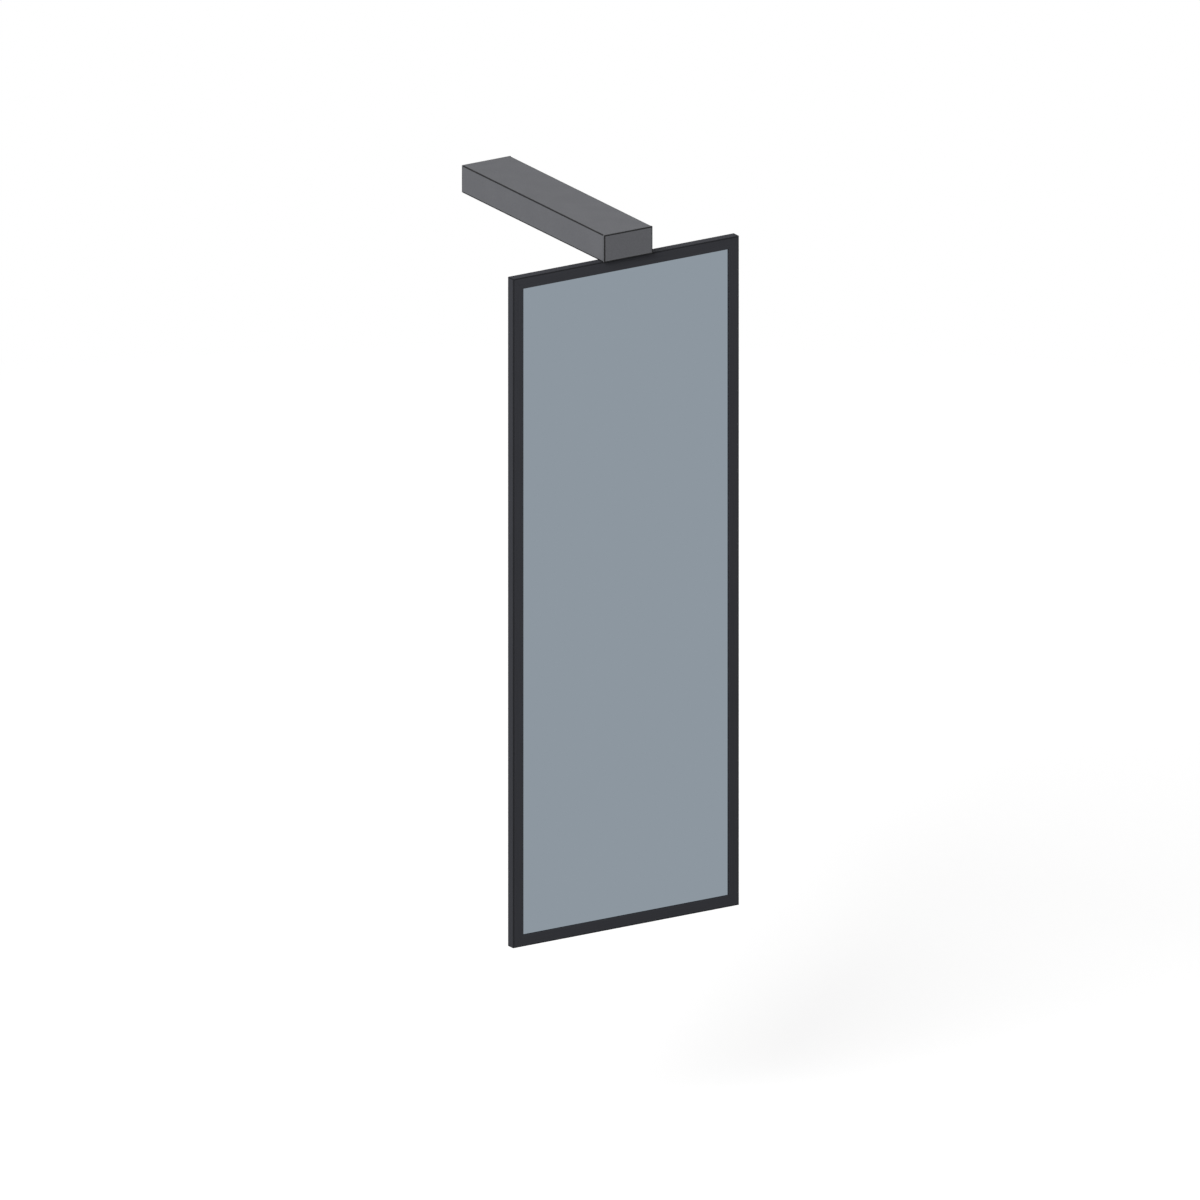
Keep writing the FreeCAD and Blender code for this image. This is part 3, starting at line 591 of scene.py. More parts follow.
@dataclass(frozen=True)
class Laminate(Finish):
    """Hardboard faced with dark laminate that has a linen emboss.

    Attributes:
        threads: The stretch of the emboss across and along its threads.
    """

    cells: float = 300.0
    tones: Pair = (0.85, 1.15)
    clouds: Pair | None = (0.4, 0.88)
    glosses: Pair = (0.05, -0.06)
    depth: float = 0.03 * MM
    threads: Pair = (1300.0, 60.0)

    def patterns(self, bench: Bench, place: Socket) -> dict[str, Socket]:
        """Return the linen and the board's clouds.

        Args:
            bench: The material's tree.
            place: The place on the piece.

        Returns:
            The sockets by the patterns' names.
        """
        warp, weft = (bench.noise(bench.stretched(place, (x, 1.0, z)), 1.0, 2.0)
                      for x, z in (self.threads, self.threads[::-1]))
        linen = bench.spread(bench.math("ADD", warp, weft), 0.7, 1.3)
        return {**mottle(bench, place, self.cells), Pattern.FINE.value: linen}


def around(*nodes: str) -> tuple[Vector, Vector]:
    """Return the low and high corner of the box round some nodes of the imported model."""
    lows, highs = zip(*map(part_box, nodes))
    return Vector(tuple(map(min, *lows))), Vector(tuple(map(max, *highs)))


class Finishes:
    """Every finish on the object."""

    def __init__(self) -> None:
        """Set out the finishes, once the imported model's boxes are known."""
        grey, charcoal = (107, 108, 112), (65, 66, 71)
        # The case's and the frame's outer edges get painted shade, a dark outline: 0.08 of the colour
        # on the case and 0.45 on the frame.
        case = {"specular": 0.25, "arris_shade": 0.08, "arris_reach": 1.7 * MM,
                "box": around("front_cap", "housing_channel", "rear_cap")}
        frame = {"metallic": 0.0, "specular": 0.05, "glosses": (-0.05, 0.05),
                 "arris_shade": 0.45, "arris_reach": 1.7 * MM,
                 "box": around("frame_top", "frame_right", "frame_bottom", "frame_left")}
        clip = {"depth": 0.02 * MM, "arris_shade": 0.9, "arris_reach": 0.3 * MM}
        self.case_coat = PowderCoat("grey_powder_coat", "powder_coat", grey, 0.72, **case)
        self.cap = Moulded("grey_moulded_cap", "cap_plastic", grey, 0.7, arris_along=False, **case)
        self.buffer = Rubber("moulded_rubber", "buffer_rubber", (38, 38, 39), 0.75)
        self.gasket = Rubber("glazing_rubber", "gasket_rubber", (30, 30, 31), 0.7)
        self.rail = RolledMetal("bright_zinc", "zinc_steel", (186, 189, 194), 0.3)
        self.cage = Moulded("acetal", "cage_plastic", (214, 214, 207), 0.42, skin=1200.0, **clip)
        self.roller = RolledMetal("ground_steel", "roller_steel", (206, 207, 210), 0.16,
                                  lines=(60.0, 3000.0, 3000.0), glosses=(-0.05, 0.05))
        self.block = CastMetal("die_cast_zinc", "cast_zinc", (150, 151, 153), 0.42)
        self.bush = CastMetal("sintered_bronze", "bronze", (166, 128, 82), 0.45, skin=2600.0,
                              depth=0.02 * MM)
        self.turned = RolledMetal("lathe_turned_steel", "turned_steel", (172, 173, 176), 0.24,
                                  lines=(40.0, 40.0, 3500.0), glosses=(-0.07, 0.07))
        self.frame_upright = RolledMetal("charcoal_anodised_upright", "black_aluminium", charcoal,
                                         0.7, lines=(1500.0, 2500.0, 18.0), **frame)
        self.frame_across = RolledMetal("charcoal_anodised_across", "black_aluminium", charcoal,
                                        0.7, lines=(18.0, 2500.0, 1500.0), **frame)
        self.key = RolledMetal("mill_aluminium", "key_aluminium", (190, 191, 194), 0.4)
        self.glass = SilveredGlass("silvered_glass", "mirror", (141, 151, 160), 0.012)
        self.film = Moulded("safety_film", "film", (90, 104, 120), 0.5)
        self.panel = Laminate("dark_laminate", "panel_board", (58, 59, 62), 0.55, specular=0.3)
        self.nylon = Moulded("nylon", "cap_plastic", (205, 206, 198), 0.45, skin=2000.0, **clip)


# ---- Shaping ----
def runs_at(axis: Axis, *places: Vector, within: float = 0.02 * MM) -> EdgeTest:
    """Return a test for edges that run along an axis.

    Args:
        axis: The axis.
        *places: Points on the lines that the edges lie on, or none for any line.
        within: How near an edge's ends are to such a line.

    Returns:
        The test, which takes an edge's two ends.
    """
    return lambda start, end: any(
        all((point - place).cross(axis.value).length < within for point in (start, end))
        for place in places or (start,))


def rim_at(axis: Axis, *levels: float) -> EdgeTest:
    """Return a test for edges whose two ends are at one of some levels along an axis."""
    return lambda *ends: any(all(abs(end.dot(axis.value) - level) < NEAR for end in ends)
                             for level in levels)


def threads(foot: float, turns: int, pitch: float, form: Sequence[Pair]) -> list[Pair]:
    """Return a thread's profile, from its form in radii and shares of the pitch."""
    return [(radius, foot + (turn + share) * pitch)
            for turn in range(turns) for radius, share in form]


def half_turn(point: Vector) -> Matrix:
    """Return half a turn about the line along Y through a point."""
    turn = Matrix.Rotation(math.pi, 4, "Y")
    return Matrix.Translation(point) @ turn @ Matrix.Translation(-point)


def clear_selection() -> None:
    """Leave edit mode and select nothing."""
    active = bpy.context.view_layer.objects.active
    if active is not None and active.mode != "OBJECT":
        bpy.ops.object.mode_set(mode="OBJECT")
    bpy.ops.object.select_all(action="DESELECT")


@dataclass
class Workpiece:
    """A mesh that is shaped step by step, with its object at the origin."""

    obj: bpy.types.Object

    # Starting shapes
    @classmethod
    def added(cls, name: str) -> Self:
        """Take over the primitive that was just added, with its place put in its mesh.

        Args:
            name: The piece's name.

        Returns:
            The piece.
        """
        obj = bpy.context.view_layer.objects.active
        obj.name = obj.data.name = name
        bpy.ops.object.transform_apply(location=True, rotation=True, scale=True)
        return cls(obj)

    @classmethod
    def block(cls, name: str, corner: Sequence[float], opposite: Sequence[float]) -> Self:
        """Start from a cube stretched between two corners.

        Args:
            name: The piece's name.
            corner: One corner.
            opposite: The opposite one.

        Returns:
            The block.
        """
        clear_selection()
        corner, opposite = Vector(corner), Vector(opposite)
        bpy.ops.mesh.primitive_cube_add(size=1, location=(corner + opposite) / 2,
                                        scale=[abs(side) for side in opposite - corner])
        return cls.added(name)

    @classmethod
    def rod(cls, name: str, foot: Sequence[float], axis: Axis, radius: float, length: float,
            sides: int = 48) -> Self:
        """Start from a cylinder.

        Args:
            name: The piece's name.
            foot: The middle of its foot.
            axis: The axis along which it stands on its foot.
            radius: Its radius, to its corners.
            length: Its length.
            sides: How many sides it has.

        Returns:
            The rod.
        """
        clear_selection()
        turn = Axis.Z.value.rotation_difference(axis.value).to_euler()
        bpy.ops.mesh.primitive_cylinder_add(vertices=sides, radius=radius, depth=length,
                                            location=Vector(foot) + axis.value * length / 2,
                                            rotation=turn)
        return cls.added(name)

    @classmethod
    def line(cls, name: str, points: Sequence[Vector]) -> Self:
        """Draw a line of edges, starting from a plane merged to one vertex.

        Args:
            name: The piece's name.
            points: The points that it runs through.

        Returns:
            The line, all selected.
        """
        clear_selection()
        bpy.ops.mesh.primitive_plane_add(size=MM, location=points[0])
        piece = cls.added(name).whole()
        bpy.ops.mesh.merge(type="CENTER")
        for here, there in zip(points, points[1:]):
            bpy.ops.mesh.extrude_vertices_move(TRANSFORM_OT_translate={"value": there - here})
        return piece.whole()

    @classmethod
    def section(cls, name: str, corners: Sequence[Vector], run: Vector) -> Self:
        """Draw a closed outline and extrude it.

        Args:
            name: The piece's name.
            corners: The outline's corners.
            run: The length and direction of the extrusion.

        Returns:
            The solid.
        """
        piece = cls.line(name, corners)
        bpy.ops.mesh.edge_face_add()
        bpy.ops.mesh.extrude_region_move(TRANSFORM_OT_translate={"value": run})
        return piece.outward()

    @classmethod
    def turned(cls, name: str, centre: Vector, profile: Sequence[Pair], steps: int = 48) -> Self:
        """Turn a profile about an upright axis.

        Args:
            name: The piece's name.
            centre: A point on the axis, from which heights count.
            profile: Radius and height of each corner, from the foot up the outside. A ring's
                profile ends where it starts, and a solid one starts and ends on the axis.
            steps: How many steps make the full turn.

        Returns:
            The turned piece.
        """
        piece = cls.line(name, [centre + Vector((radius, 0, height)) for radius, height in profile])
        bpy.ops.mesh.spin(steps=steps, angle=math.tau, center=centre, axis=(0, 0, 1))
        piece.whole()
        bpy.ops.mesh.remove_doubles(threshold=NEAR)
        return piece.outward()

    # Modes and selection
    def resting(self) -> Self:
        """Go into object mode with this piece alone selected and active.

        Returns:
            The piece.
        """
        clear_selection()
        self.obj.select_set(True)
        bpy.context.view_layer.objects.active = self.obj
        return self

    def editing(self) -> Self:
        """Go into edit mode with this piece alone.

        Returns:
            The piece.
        """
        if self.obj.mode != "EDIT":
            self.resting()
            bpy.ops.object.mode_set(mode="EDIT")
        return self

    def whole(self) -> Self:
        """Select the whole mesh in edit mode, vertex by vertex.

        Returns:
            The piece.
        """
        self.editing()
        bpy.ops.mesh.select_mode(type="VERT")
        bpy.ops.mesh.select_all(action="SELECT")
        return self

    def pick(self, kind: str, choice: Callable[[bmesh.types.BMesh], Iterable]) -> Self:
        """Select part of the mesh, and nothing else.

        Args:
            kind: The mode of the selection, VERT, EDGE or FACE.
            choice: Takes the mesh and returns what to select.

        Returns:
            The piece, in edit mode.
        """
        self.editing()
        bpy.ops.mesh.select_mode(type=kind)
        bpy.ops.mesh.select_all(action="DESELECT")
        mesh = bmesh.from_edit_mesh(self.obj.data)
        chosen = list(choice(mesh))
        if not chosen:
            raise ValueError(f"{self.obj.name}: nothing to select")
        for element in chosen:
            element.select_set(True)
        mesh.select_flush_mode()
        bmesh.update_edit_mesh(self.obj.data)
        return self

    def faces(self, test: FaceTest) -> Self:
        """Select the faces whose middle and normal pass a test."""
        return self.pick("FACE", lambda mesh: (
            face for face in mesh.faces if test(face.calc_center_median(), face.normal)))

    def edges(self, test: EdgeTest) -> Self:
        """Select the edges whose two ends pass a test."""
        return self.pick("EDGE", lambda mesh: (
            edge for edge in mesh.edges if test(*(end.co for end in edge.verts))))

    def points(self, test: Callable[[Vector], bool]) -> Self:
        """Select the vertices that pass a test."""
        return self.pick("VERT", lambda mesh: (point for point in mesh.verts if test(point.co)))

    # Edit mode operators
    def inset(self, thickness: float, depth: float = 0.0) -> Self:
        """Inset the selected faces, and sink or raise them by a depth."""
        bpy.ops.mesh.inset(thickness=thickness, depth=depth)
        return self

    def bevel(self, width: float, segments: int) -> Self:
        """Bevel the selected edges."""
        bpy.ops.mesh.bevel(offset=width, segments=segments, affect="EDGES")
        return self

    def slice(self, point: Vector, outward: Vector) -> Self:
        """Cut off what lies beyond a plane and close the cut.

        Args:
            point: A point on the plane.
            outward: The direction in which the mesh is cut off.

        Returns:
            The piece, in edit mode.
        """
        self.whole()
        bpy.ops.mesh.bisect(plane_co=point, plane_no=outward, use_fill=True, clear_outer=True)
        return self

    def outward(self) -> Self:
        """Turn every face outward.

        Returns:
            The piece.
        """
        self.whole()
        bpy.ops.mesh.normals_make_consistent(inside=False)
        return self

    # Modifiers and booleans
    def modify(self, kind: str, **settings: object) -> Self:
        """Add a modifier and apply it.

        Args:
            kind: The modifier's type.
            **settings: Its properties.

        Returns:
            The piece.
        """
        self.resting()
        modifier = self.obj.modifiers.new(kind.title(), kind)
        for name, value in settings.items():
            setattr(modifier, name, value)
        bpy.ops.object.modifier_apply(modifier=modifier.name)
        return self

    def combine(self, other: Self, join: Join) -> Self:
        """Combine with another solid, which is used up.

        Args:
            other: The other solid.
            join: How the two are combined.

        Returns:
            The piece.
        """
        other.resting()
        self.modify("BOOLEAN", operation=join.value, object=other.obj, solver="EXACT")
        bpy.data.objects.remove(other.obj)
        return self

    def cut(self, other: Self) -> Self:
        """Cut another solid out of this one."""
        return self.combine(other, Join.CUT)

    def fuse(self, other: Self) -> Self:
        """Join another solid to this one."""
        return self.combine(other, Join.FUSE)

    def drill(self, foot: Sequence[float], axis: Axis, radius: float, depth: float,
              sides: int = 48) -> Self:
        """Cut a round hole that starts at foot."""
        return self.cut(Workpiece.rod("drill", foot, axis, radius, depth, sides))

    def row(self, count: int, step: Vector) -> Self:
        """Repeat the piece count times at a step."""
        return self.modify("ARRAY", count=count, use_relative_offset=False,
                           use_constant_offset=True, constant_offset_displace=step)

    def soften(self, width: float, segments: int = 2, least_angle: float = 30.0) -> Self:
        """Round every sharp edge a little, leaving flat faces flat.

        Args:
            width: The width of the rounding.
            segments: How many faces it has across.
            least_angle: The angle between two faces, in degrees, from which they have an edge.

        Returns:
            The piece.
        """
        self.modify("BEVEL", width=width, segments=segments, limit_method="ANGLE",
                    angle_limit=math.radians(least_angle), use_clamp_overlap=True)
        return self.smooth(degrees=60)

    def smooth(self, degrees: float = 32.0) -> Self:
        """Shade curves smooth, keep corners sharp and let large faces set the normals by them.

        Args:
            degrees: The angle between two faces, in degrees, from which they have a corner.

        Returns:
            The piece.
        """
        self.resting()
        bpy.ops.object.shade_smooth_by_angle(angle=math.radians(degrees))
        return self.modify("WEIGHTED_NORMAL", mode="FACE_AREA", weight=50, keep_sharp=True)

    # Copies
    def copy(self, name: str, placing: Matrix) -> Self:
        """Copy the piece with a mesh of its own.

        Args:
            name: The copy's name.
            placing: The rigid transform that places it.

        Returns:
            The copy.
        """
        self.resting()
        obj = self.obj.copy()
        obj.data = self.obj.data.copy()
        obj.name = obj.data.name = name
        obj.data.transform(placing)
        bpy.context.scene.collection.objects.link(obj)
        return type(self)(obj)

    def repeat(self, *steps: Vector) -> Self:
        """Join copies of the piece to it, each moved by one of the steps.

        Args:
            *steps: The moves.

        Returns:
            The piece with its copies, as separate solids in one mesh.
        """
        copies = [self.copy("copy", Matrix.Translation(step)) for step in steps]
        self.resting()
        for other in copies:
            other.obj.select_set(True)
        bpy.ops.object.join()
        return self


# ---- Sub-assemblies ----
@dataclass
class SubAssembly:
    """A group of pieces that are built and dressed together.

    Attributes:
        finishes: The finishes of the whole object.
    """

    finishes: Finishes

    def build(self) -> None:
        """Build and dress every piece of the sub-assembly."""
        raise NotImplementedError

    def coat(self, obj: bpy.types.Object, finish: Finish) -> None:
        """Give an object one finish in place of any other."""
        obj.data.materials.clear()
        obj.data.materials.append(finish.material)

    def present(self, piece: Workpiece, body: Body, finish: Finish, *nodes: str) -> None:
        """Dress a finished piece and set it on its body.

        Args:
            piece: The finished piece.
            body: The body it rides on.
            finish: Its finish.
            *nodes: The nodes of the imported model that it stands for.
        """
        obj = piece.resting().obj
        self.coat(obj, finish)
        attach(obj, body.value)
        if nodes:
            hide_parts(*nodes)
        LOG.info("%s: %d faces, on %s, in %s", obj.name, len(obj.data.polygons), body.value,
                 finish.name)

    def dress(self, node: str, finish: Finish) -> None:
        """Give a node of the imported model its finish."""
        self.coat(bpy.data.objects[node], finish)
        LOG.info("%s: packed node, in %s", node, finish.name)

    def folded(self, name: str, node: str, wall: float, bend: float) -> Workpiece:
        """Fold a channel from sheet, open below and at both ends.

        Args:
            name: The piece's name.
            node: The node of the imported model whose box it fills.
            wall: The thickness of the sheet.
            bend: The radius outside its two bends.

        Returns:
            The channel.
        """
        low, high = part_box(node)
        piece = Workpiece.block(name, low, high)
        piece.faces(lambda _middle, normal: normal.z < -0.5 or abs(normal.y) > 0.5)
        bpy.ops.mesh.delete(type="FACE")
        piece.edges(runs_at(Axis.Y, *(Vector((x, 0, high.z)) for x in (low.x, high.x))))
        piece.bevel(bend, 6)
        return piece.modify("SOLIDIFY", thickness=wall, offset=-1, use_even_offset=True)

    def arch(self, half_width: float, low: float, high: float, ends: Pair,
             wall: float) -> Workpiece:
        """Mould an upturned U that stands across the middle of the object.

        Args:
            half_width: Half its width outside.
            low: The height of its foot.
            high: The height of its top.
            ends: Y of its front and of its rear.
            wall: The thickness of its walls.

        Returns:
            The arch.
        """
        front, rear = ends
        inside = half_width - wall
        piece = Workpiece.block("arch", (-half_width, front, low), (half_width, rear, high))
        return piece.cut(Workpiece.block("core", (-inside, front - MM, low - MM),
                                         (inside, rear + MM, high - wall)))


@dataclass
class Housing(SubAssembly):
    """The folded housing, with plugs in its mounting holes, its end cap and its buffers."""

    wall: float = 1.5 * MM
    bend: float = 1.6 * MM
    hole_radius: float = 2.75 * MM
    hole_spacing: Pair = (32 * MM, 256 * MM)
    plug_play: float = 0.03 * MM
    plug_sunk: float = 0.05 * MM
    plug_edge: float = 0.1 * MM
    plug_wall: float = 0.9 * MM
    plug_skirt: float = 1.2 * MM
    plug_lead: float = 0.3 * MM
    plug_barb: float = 0.25 * MM
    slit: Pair = (4.0 * MM, 0.4 * MM)
    spigot_wall: float = 2.0 * MM
    spigot_depth: float = 6.0 * MM
    spigot_height: float = 30.0 * MM
    cap_edge: float = 1.0 * MM
    soft_edge: float = 0.15 * MM
    buffer_edge: float = 0.8 * MM
    buffer_rim: float = 1.2 * MM
    dimple: Pair = (0.3 * MM, -0.5 * MM)

    def build(self) -> None:
        """Build the channel, the plugs in its holes, the rear cap and the two buffers."""
        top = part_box("housing_channel")[1].z
        across, along = self.hole_spacing
        holes = [Vector((x * across / 2, y * along / 2, top)) for x, y in product(SIDES, SIDES)]
        self.channel(holes)
        self.hole_plugs(holes)
        self.rear_cap()
        self.buffers()

    def channel(self, holes: Sequence[Vector]) -> None:
        """Fold the channel and punch its mounting holes.

        Args:
            holes: The middles of the holes, on the channel's top.
        """
        piece = self.folded("steel_housing", "housing_channel", self.wall, self.bend)
        for hole in holes:
            piece.drill(hole - Vector((0, 0, 2 * self.wall)), Axis.Z, self.hole_radius,
                        3 * self.wall)
        piece.soften(self.soft_edge)
        self.present(piece, Body.HOUSING, self.finishes.case_coat, "housing_channel")

    def hole_plugs(self, holes: Sequence[Vector]) -> None:
        """Mould one flush plug with a barbed, slit skirt, and copy it to all the holes.

        Args:
            holes: The middles of the holes, on the channel's top.
        """
        first, radius = holes[0], self.hole_radius - self.plug_play
        hollow, sunk, edge = radius - self.plug_wall, -self.plug_sunk, self.plug_edge
        under, foot = -self.wall, -self.wall - self.plug_skirt
        piece = Workpiece.turned("mounting_hole_plugs", first, [
            (hollow, foot), (radius - self.plug_lead, foot),
            (radius + self.plug_barb, under - edge + sunk), (radius, under - edge),
            (radius, sunk - edge), (radius - edge, sunk), (0, sunk), (0, under),
            (hollow, under), (hollow, foot),
        ], steps=32)
        for x, y in (self.slit, self.slit[::-1]):
            piece.cut(Workpiece.block("slit", first + Vector((-x, -y, 2 * foot)),
                                      first + Vector((x, y, under - self.plug_lead))))
        piece.smooth().repeat(*(hole - first for hole in holes[1:]))
        self.present(piece, Body.HOUSING, self.finishes.cap)

    def rear_cap(self) -> None:
        """Mould the plate, with a U-shaped spigot that plugs the channel."""
        low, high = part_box("rear_cap")
        face, top = low.y + self.spigot_depth, -self.wall
        piece = Workpiece.block("rear_plug", (low.x, face, low.z), high)
        piece.edges(rim_at(Axis.Y, high.y)).bevel(self.cap_edge, 4)
        piece.fuse(self.arch(high.x - self.wall, top - self.spigot_height, top,
                             (low.y, face + MM / 2), self.spigot_wall))
        piece.soften(self.soft_edge)
        self.present(piece, Body.HOUSING, self.finishes.cap, "rear_cap")

    def buffers(self) -> None:
        """Mould one buffer with a rounded rim and a dimple, and copy it to the other side."""
        low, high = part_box("end_bumpers")
        radius = (high.z - low.z) / 2
        middle = Vector((low.x + radius, low.y, low.z + radius))
        piece = Workpiece.rod("rear_buffer_left", middle, Axis.Y, radius, high.y - low.y)
        piece.edges(rim_at(Axis.Y, low.y)).bevel(self.buffer_edge, 4)
        piece.faces(lambda spot, _normal: spot.y < low.y + NEAR)
        piece.inset(self.buffer_rim).inset(*self.dimple).smooth()
        twin = piece.copy("rear_buffer_right", Matrix.Translation((-2 * middle.x, 0, 0)))
        self.present(piece, Body.HOUSING, self.finishes.buffer, "end_bumpers")
        self.present(twin, Body.HOUSING, self.finishes.buffer)


@dataclass
class Slides(SubAssembly):
    """The two telescopic slides: three nested rails each side, with rollers between them.

    Depth counts from the housing's wall inward and height from the slide's middle. A piece is
    made on the left, and half a turn about the housing's middle line makes its twin on the right.
    """

    gauge: float = 1.2 * MM
    bend: float = 1.3 * MM
    inner_bend: float = 0.3 * MM
    soft_edge: float = 0.12 * MM
    rail_depth: float = 12.7 * MM
    web_gap: float = 1.2 * MM
    inner_web_gap: float = 0.4 * MM
    lip_gap: float = 0.55 * MM
    flange_gap: float = 0.6 * MM
    guide_gap: float = 0.3 * MM
    roller: float = 3.0 * MM
    roller_length: float = 2.5 * MM
    roller_edge: float = 0.25 * MM
    play: float = 0.05 * MM
    pocket_play: float = 0.1 * MM
    cage_thickness: float = 2.4 * MM
    cage_edge: float = 0.15 * MM
    lug: float = 3.0 * MM
    rollers_per_row: int = 13
    weld_radius: float = 2.2 * MM
    weld_depth: float = 0.15 * MM
    welds: tuple[float, ...] = (0.08, 0.36, 0.64, 0.92)

    def __post_init__(self) -> None:
        """Work out the races and faces from the sizes, as they are nested."""
        low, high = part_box("outer_rail_left")
        self.wall_x, self.front, self.length = low.x, low.y, high.y - low.y
        self.middle_z = (low.z + high.z) / 2
        self.half = (high.z - low.z) / 2
        row = self.roller + 2 * self.play
        self.outer_race = self.half - self.gauge
        self.race_top = self.outer_race - row
        self.race_bottom = self.race_top - self.gauge
        self.inner_race = self.race_bottom - row
        self.web = self.gauge + self.web_gap
        self.hem = self.web + 2 * self.gauge
        self.outer_reach = self.rail_depth - self.gauge - self.guide_gap
        self.outer_lip = self.outer_reach - self.gauge
        self.middle_reach = self.rail_depth - self.gauge - self.flange_gap
        self.middle_lip = self.middle_reach - self.gauge
        self.inner_lip = self.web + self.gauge + self.inner_web_gap
        self.inner_lip_face = self.inner_lip + self.gauge

    def build(self) -> None:
        """Build every rail, cage and roller."""
        self.outer_rail()
        self.intermediate_rail()
        self.inner_rail()
        axle = self.roller / 2 + self.play
        self.roller_rows("outer", Body.OUTER_CAGES, self.hem, self.outer_lip,
                         self.outer_race - axle)
        self.roller_rows("inner", Body.INNER_CAGES, self.inner_lip_face, self.middle_lip,
                         self.race_bottom - axle)

    def spot(self, depth: float, height: float, travel: float = 0.0) -> Vector:
        """Return the point at a depth, a height and a travel from the rails' front end."""
        return Vector((self.wall_x + depth, self.front + travel, self.middle_z + height))

    def rail(self, name: str, upper: Sequence[Triple]) -> Workpiece:
        """Roll a rail from the upper half of its section, which is the same below its middle.

        Args:
            name: The piece's name.
            upper: Depth, height and bend of each corner above the section's middle.

        Returns:
            The rail along the whole slide.
        """
        lower = [(depth, -height, bend) for depth, height, bend in reversed(upper)]
        corners = [(self.spot(depth, height), bend) for depth, height, bend in [*upper, *lower]]
        piece = Workpiece.section(name, [corner for corner, _bend in corners],
                                  Axis.Y.value * self.length)
        for radius in (self.bend, self.inner_bend):
            lines = [corner for corner, bend in corners if bend == radius]
            piece.edges(runs_at(Axis.Y, *lines)).bevel(radius, 4)
        return piece

    def lugs(self, piece: Workpiece, rear: bool, depths: Pair, heights: Pair) -> None:
        """Fuse the pair of lugs that stop a cage to one end of a rail.

        Args:
            piece: The rail.
            rear: Whether they stand at its rear end.
            depths: The depths between which they stand.
            heights: The heights between which they stand, from the slide's middle.
        """
        start = self.length - self.lug if rear else self.guide_gap
        end = start + self.lug - self.guide_gap
        for side in SIDES:
            piece.fuse(Workpiece.block("lug", self.spot(depths[0], side * heights[0], start),
                                       self.spot(depths[1], side * heights[1], end)))

    def pair(self, piece: Workpiece, body: Body, finish: Finish, node: str) -> None:
        """Present a left piece, and its twin on the right.

        Args:
            piece: The finished left piece.
            body: The body they ride on.
            finish: Their finish.
            node: The nodes' name without its side.
        """
        name = piece.obj.name.removesuffix("_left")
        twin = piece.copy(f"{name}_right", half_turn(Vector((0, 0, self.middle_z))))
        self.present(piece, body, finish, f"{node}_left")
        self.present(twin, body, finish, f"{node}_right")

    def outer_rail(self) -> None:
        """Roll the rail on the housing's wall, with lips turned in and weld marks in its web."""
        lip_end, outer, inner = self.race_top + self.lip_gap, self.bend, self.inner_bend
        piece = self.rail("outer_slide_left", [
            (0, self.half, outer), (self.outer_reach, self.half, outer),
            (self.outer_reach, lip_end, 0), (self.outer_lip, lip_end, 0),
            (self.outer_lip, self.outer_race, inner), (self.gauge, self.outer_race, inner),
        ])
        self.lugs(piece, False, (self.hem + self.guide_gap, self.outer_lip + self.play),
                  (self.race_top + self.guide_gap, self.outer_race + self.play))
        for share in self.welds:
            spot = self.spot(self.gauge - self.weld_depth, 0, share * self.length)
            piece.drill(spot, Axis.X, self.weld_radius, MM, sides=24)
        piece.soften(self.soft_edge, least_angle=CURVED)
        self.pair(piece, Body.HOUSING, self.finishes.rail, "outer_rail")

    def intermediate_rail(self) -> None:
        """Roll the rail between, with hemmed edges and a race on each face of its flanges."""
        hem_top, lip_end = self.outer_race - self.lip_gap, self.inner_race + self.lip_gap
        outer, inner = self.bend, self.inner_bend
        piece = self.rail("middle_slide_left", [
            (self.web, hem_top, outer), (self.hem, hem_top, outer),
            (self.hem, self.race_top, inner), (self.middle_reach, self.race_top, outer),
            (self.middle_reach, lip_end, 0), (self.middle_lip, lip_end, 0),
            (self.middle_lip, self.race_bottom, inner),
            (self.web + self.gauge, self.race_bottom, inner),
        ])
        self.lugs(piece, True, (self.hem - self.play, self.outer_lip - self.guide_gap),
                  (self.race_top - self.play, self.outer_race - self.guide_gap))
        self.lugs(piece, False, (self.inner_lip_face + self.guide_gap, self.middle_lip + self.play),
                  (self.inner_race + self.guide_gap, self.race_bottom + self.play))
        piece.soften(self.soft_edge, least_angle=CURVED)
        self.pair(piece, Body.INTERMEDIATE, self.finishes.rail, "intermediate_rail")

    def inner_rail(self) -> None:
        """Roll the rail on the carriage, with the inner race on its flanges."""
        web, lip_end = self.rail_depth - self.gauge, self.race_bottom - self.lip_gap
        flange, outer, inner = self.inner_race - self.gauge, self.bend, self.inner_bend
        piece = self.rail("inner_slide_left", [
            (self.rail_depth, self.inner_race, outer),
            (self.inner_lip_face, self.inner_race, inner),
            (self.inner_lip_face, lip_end, 0), (self.inner_lip, lip_end, 0),
            (self.inner_lip, flange, outer), (web, flange, inner),
        ])
        self.lugs(piece, True, (self.inner_lip_face - self.play, self.middle_lip - self.guide_gap),
                  (self.inner_race - self.play, self.race_bottom - self.guide_gap))
        piece.soften(self.soft_edge, least_angle=CURVED)
        self.pair(piece, Body.CARRIAGE, self.finishes.rail, "inner_rail")

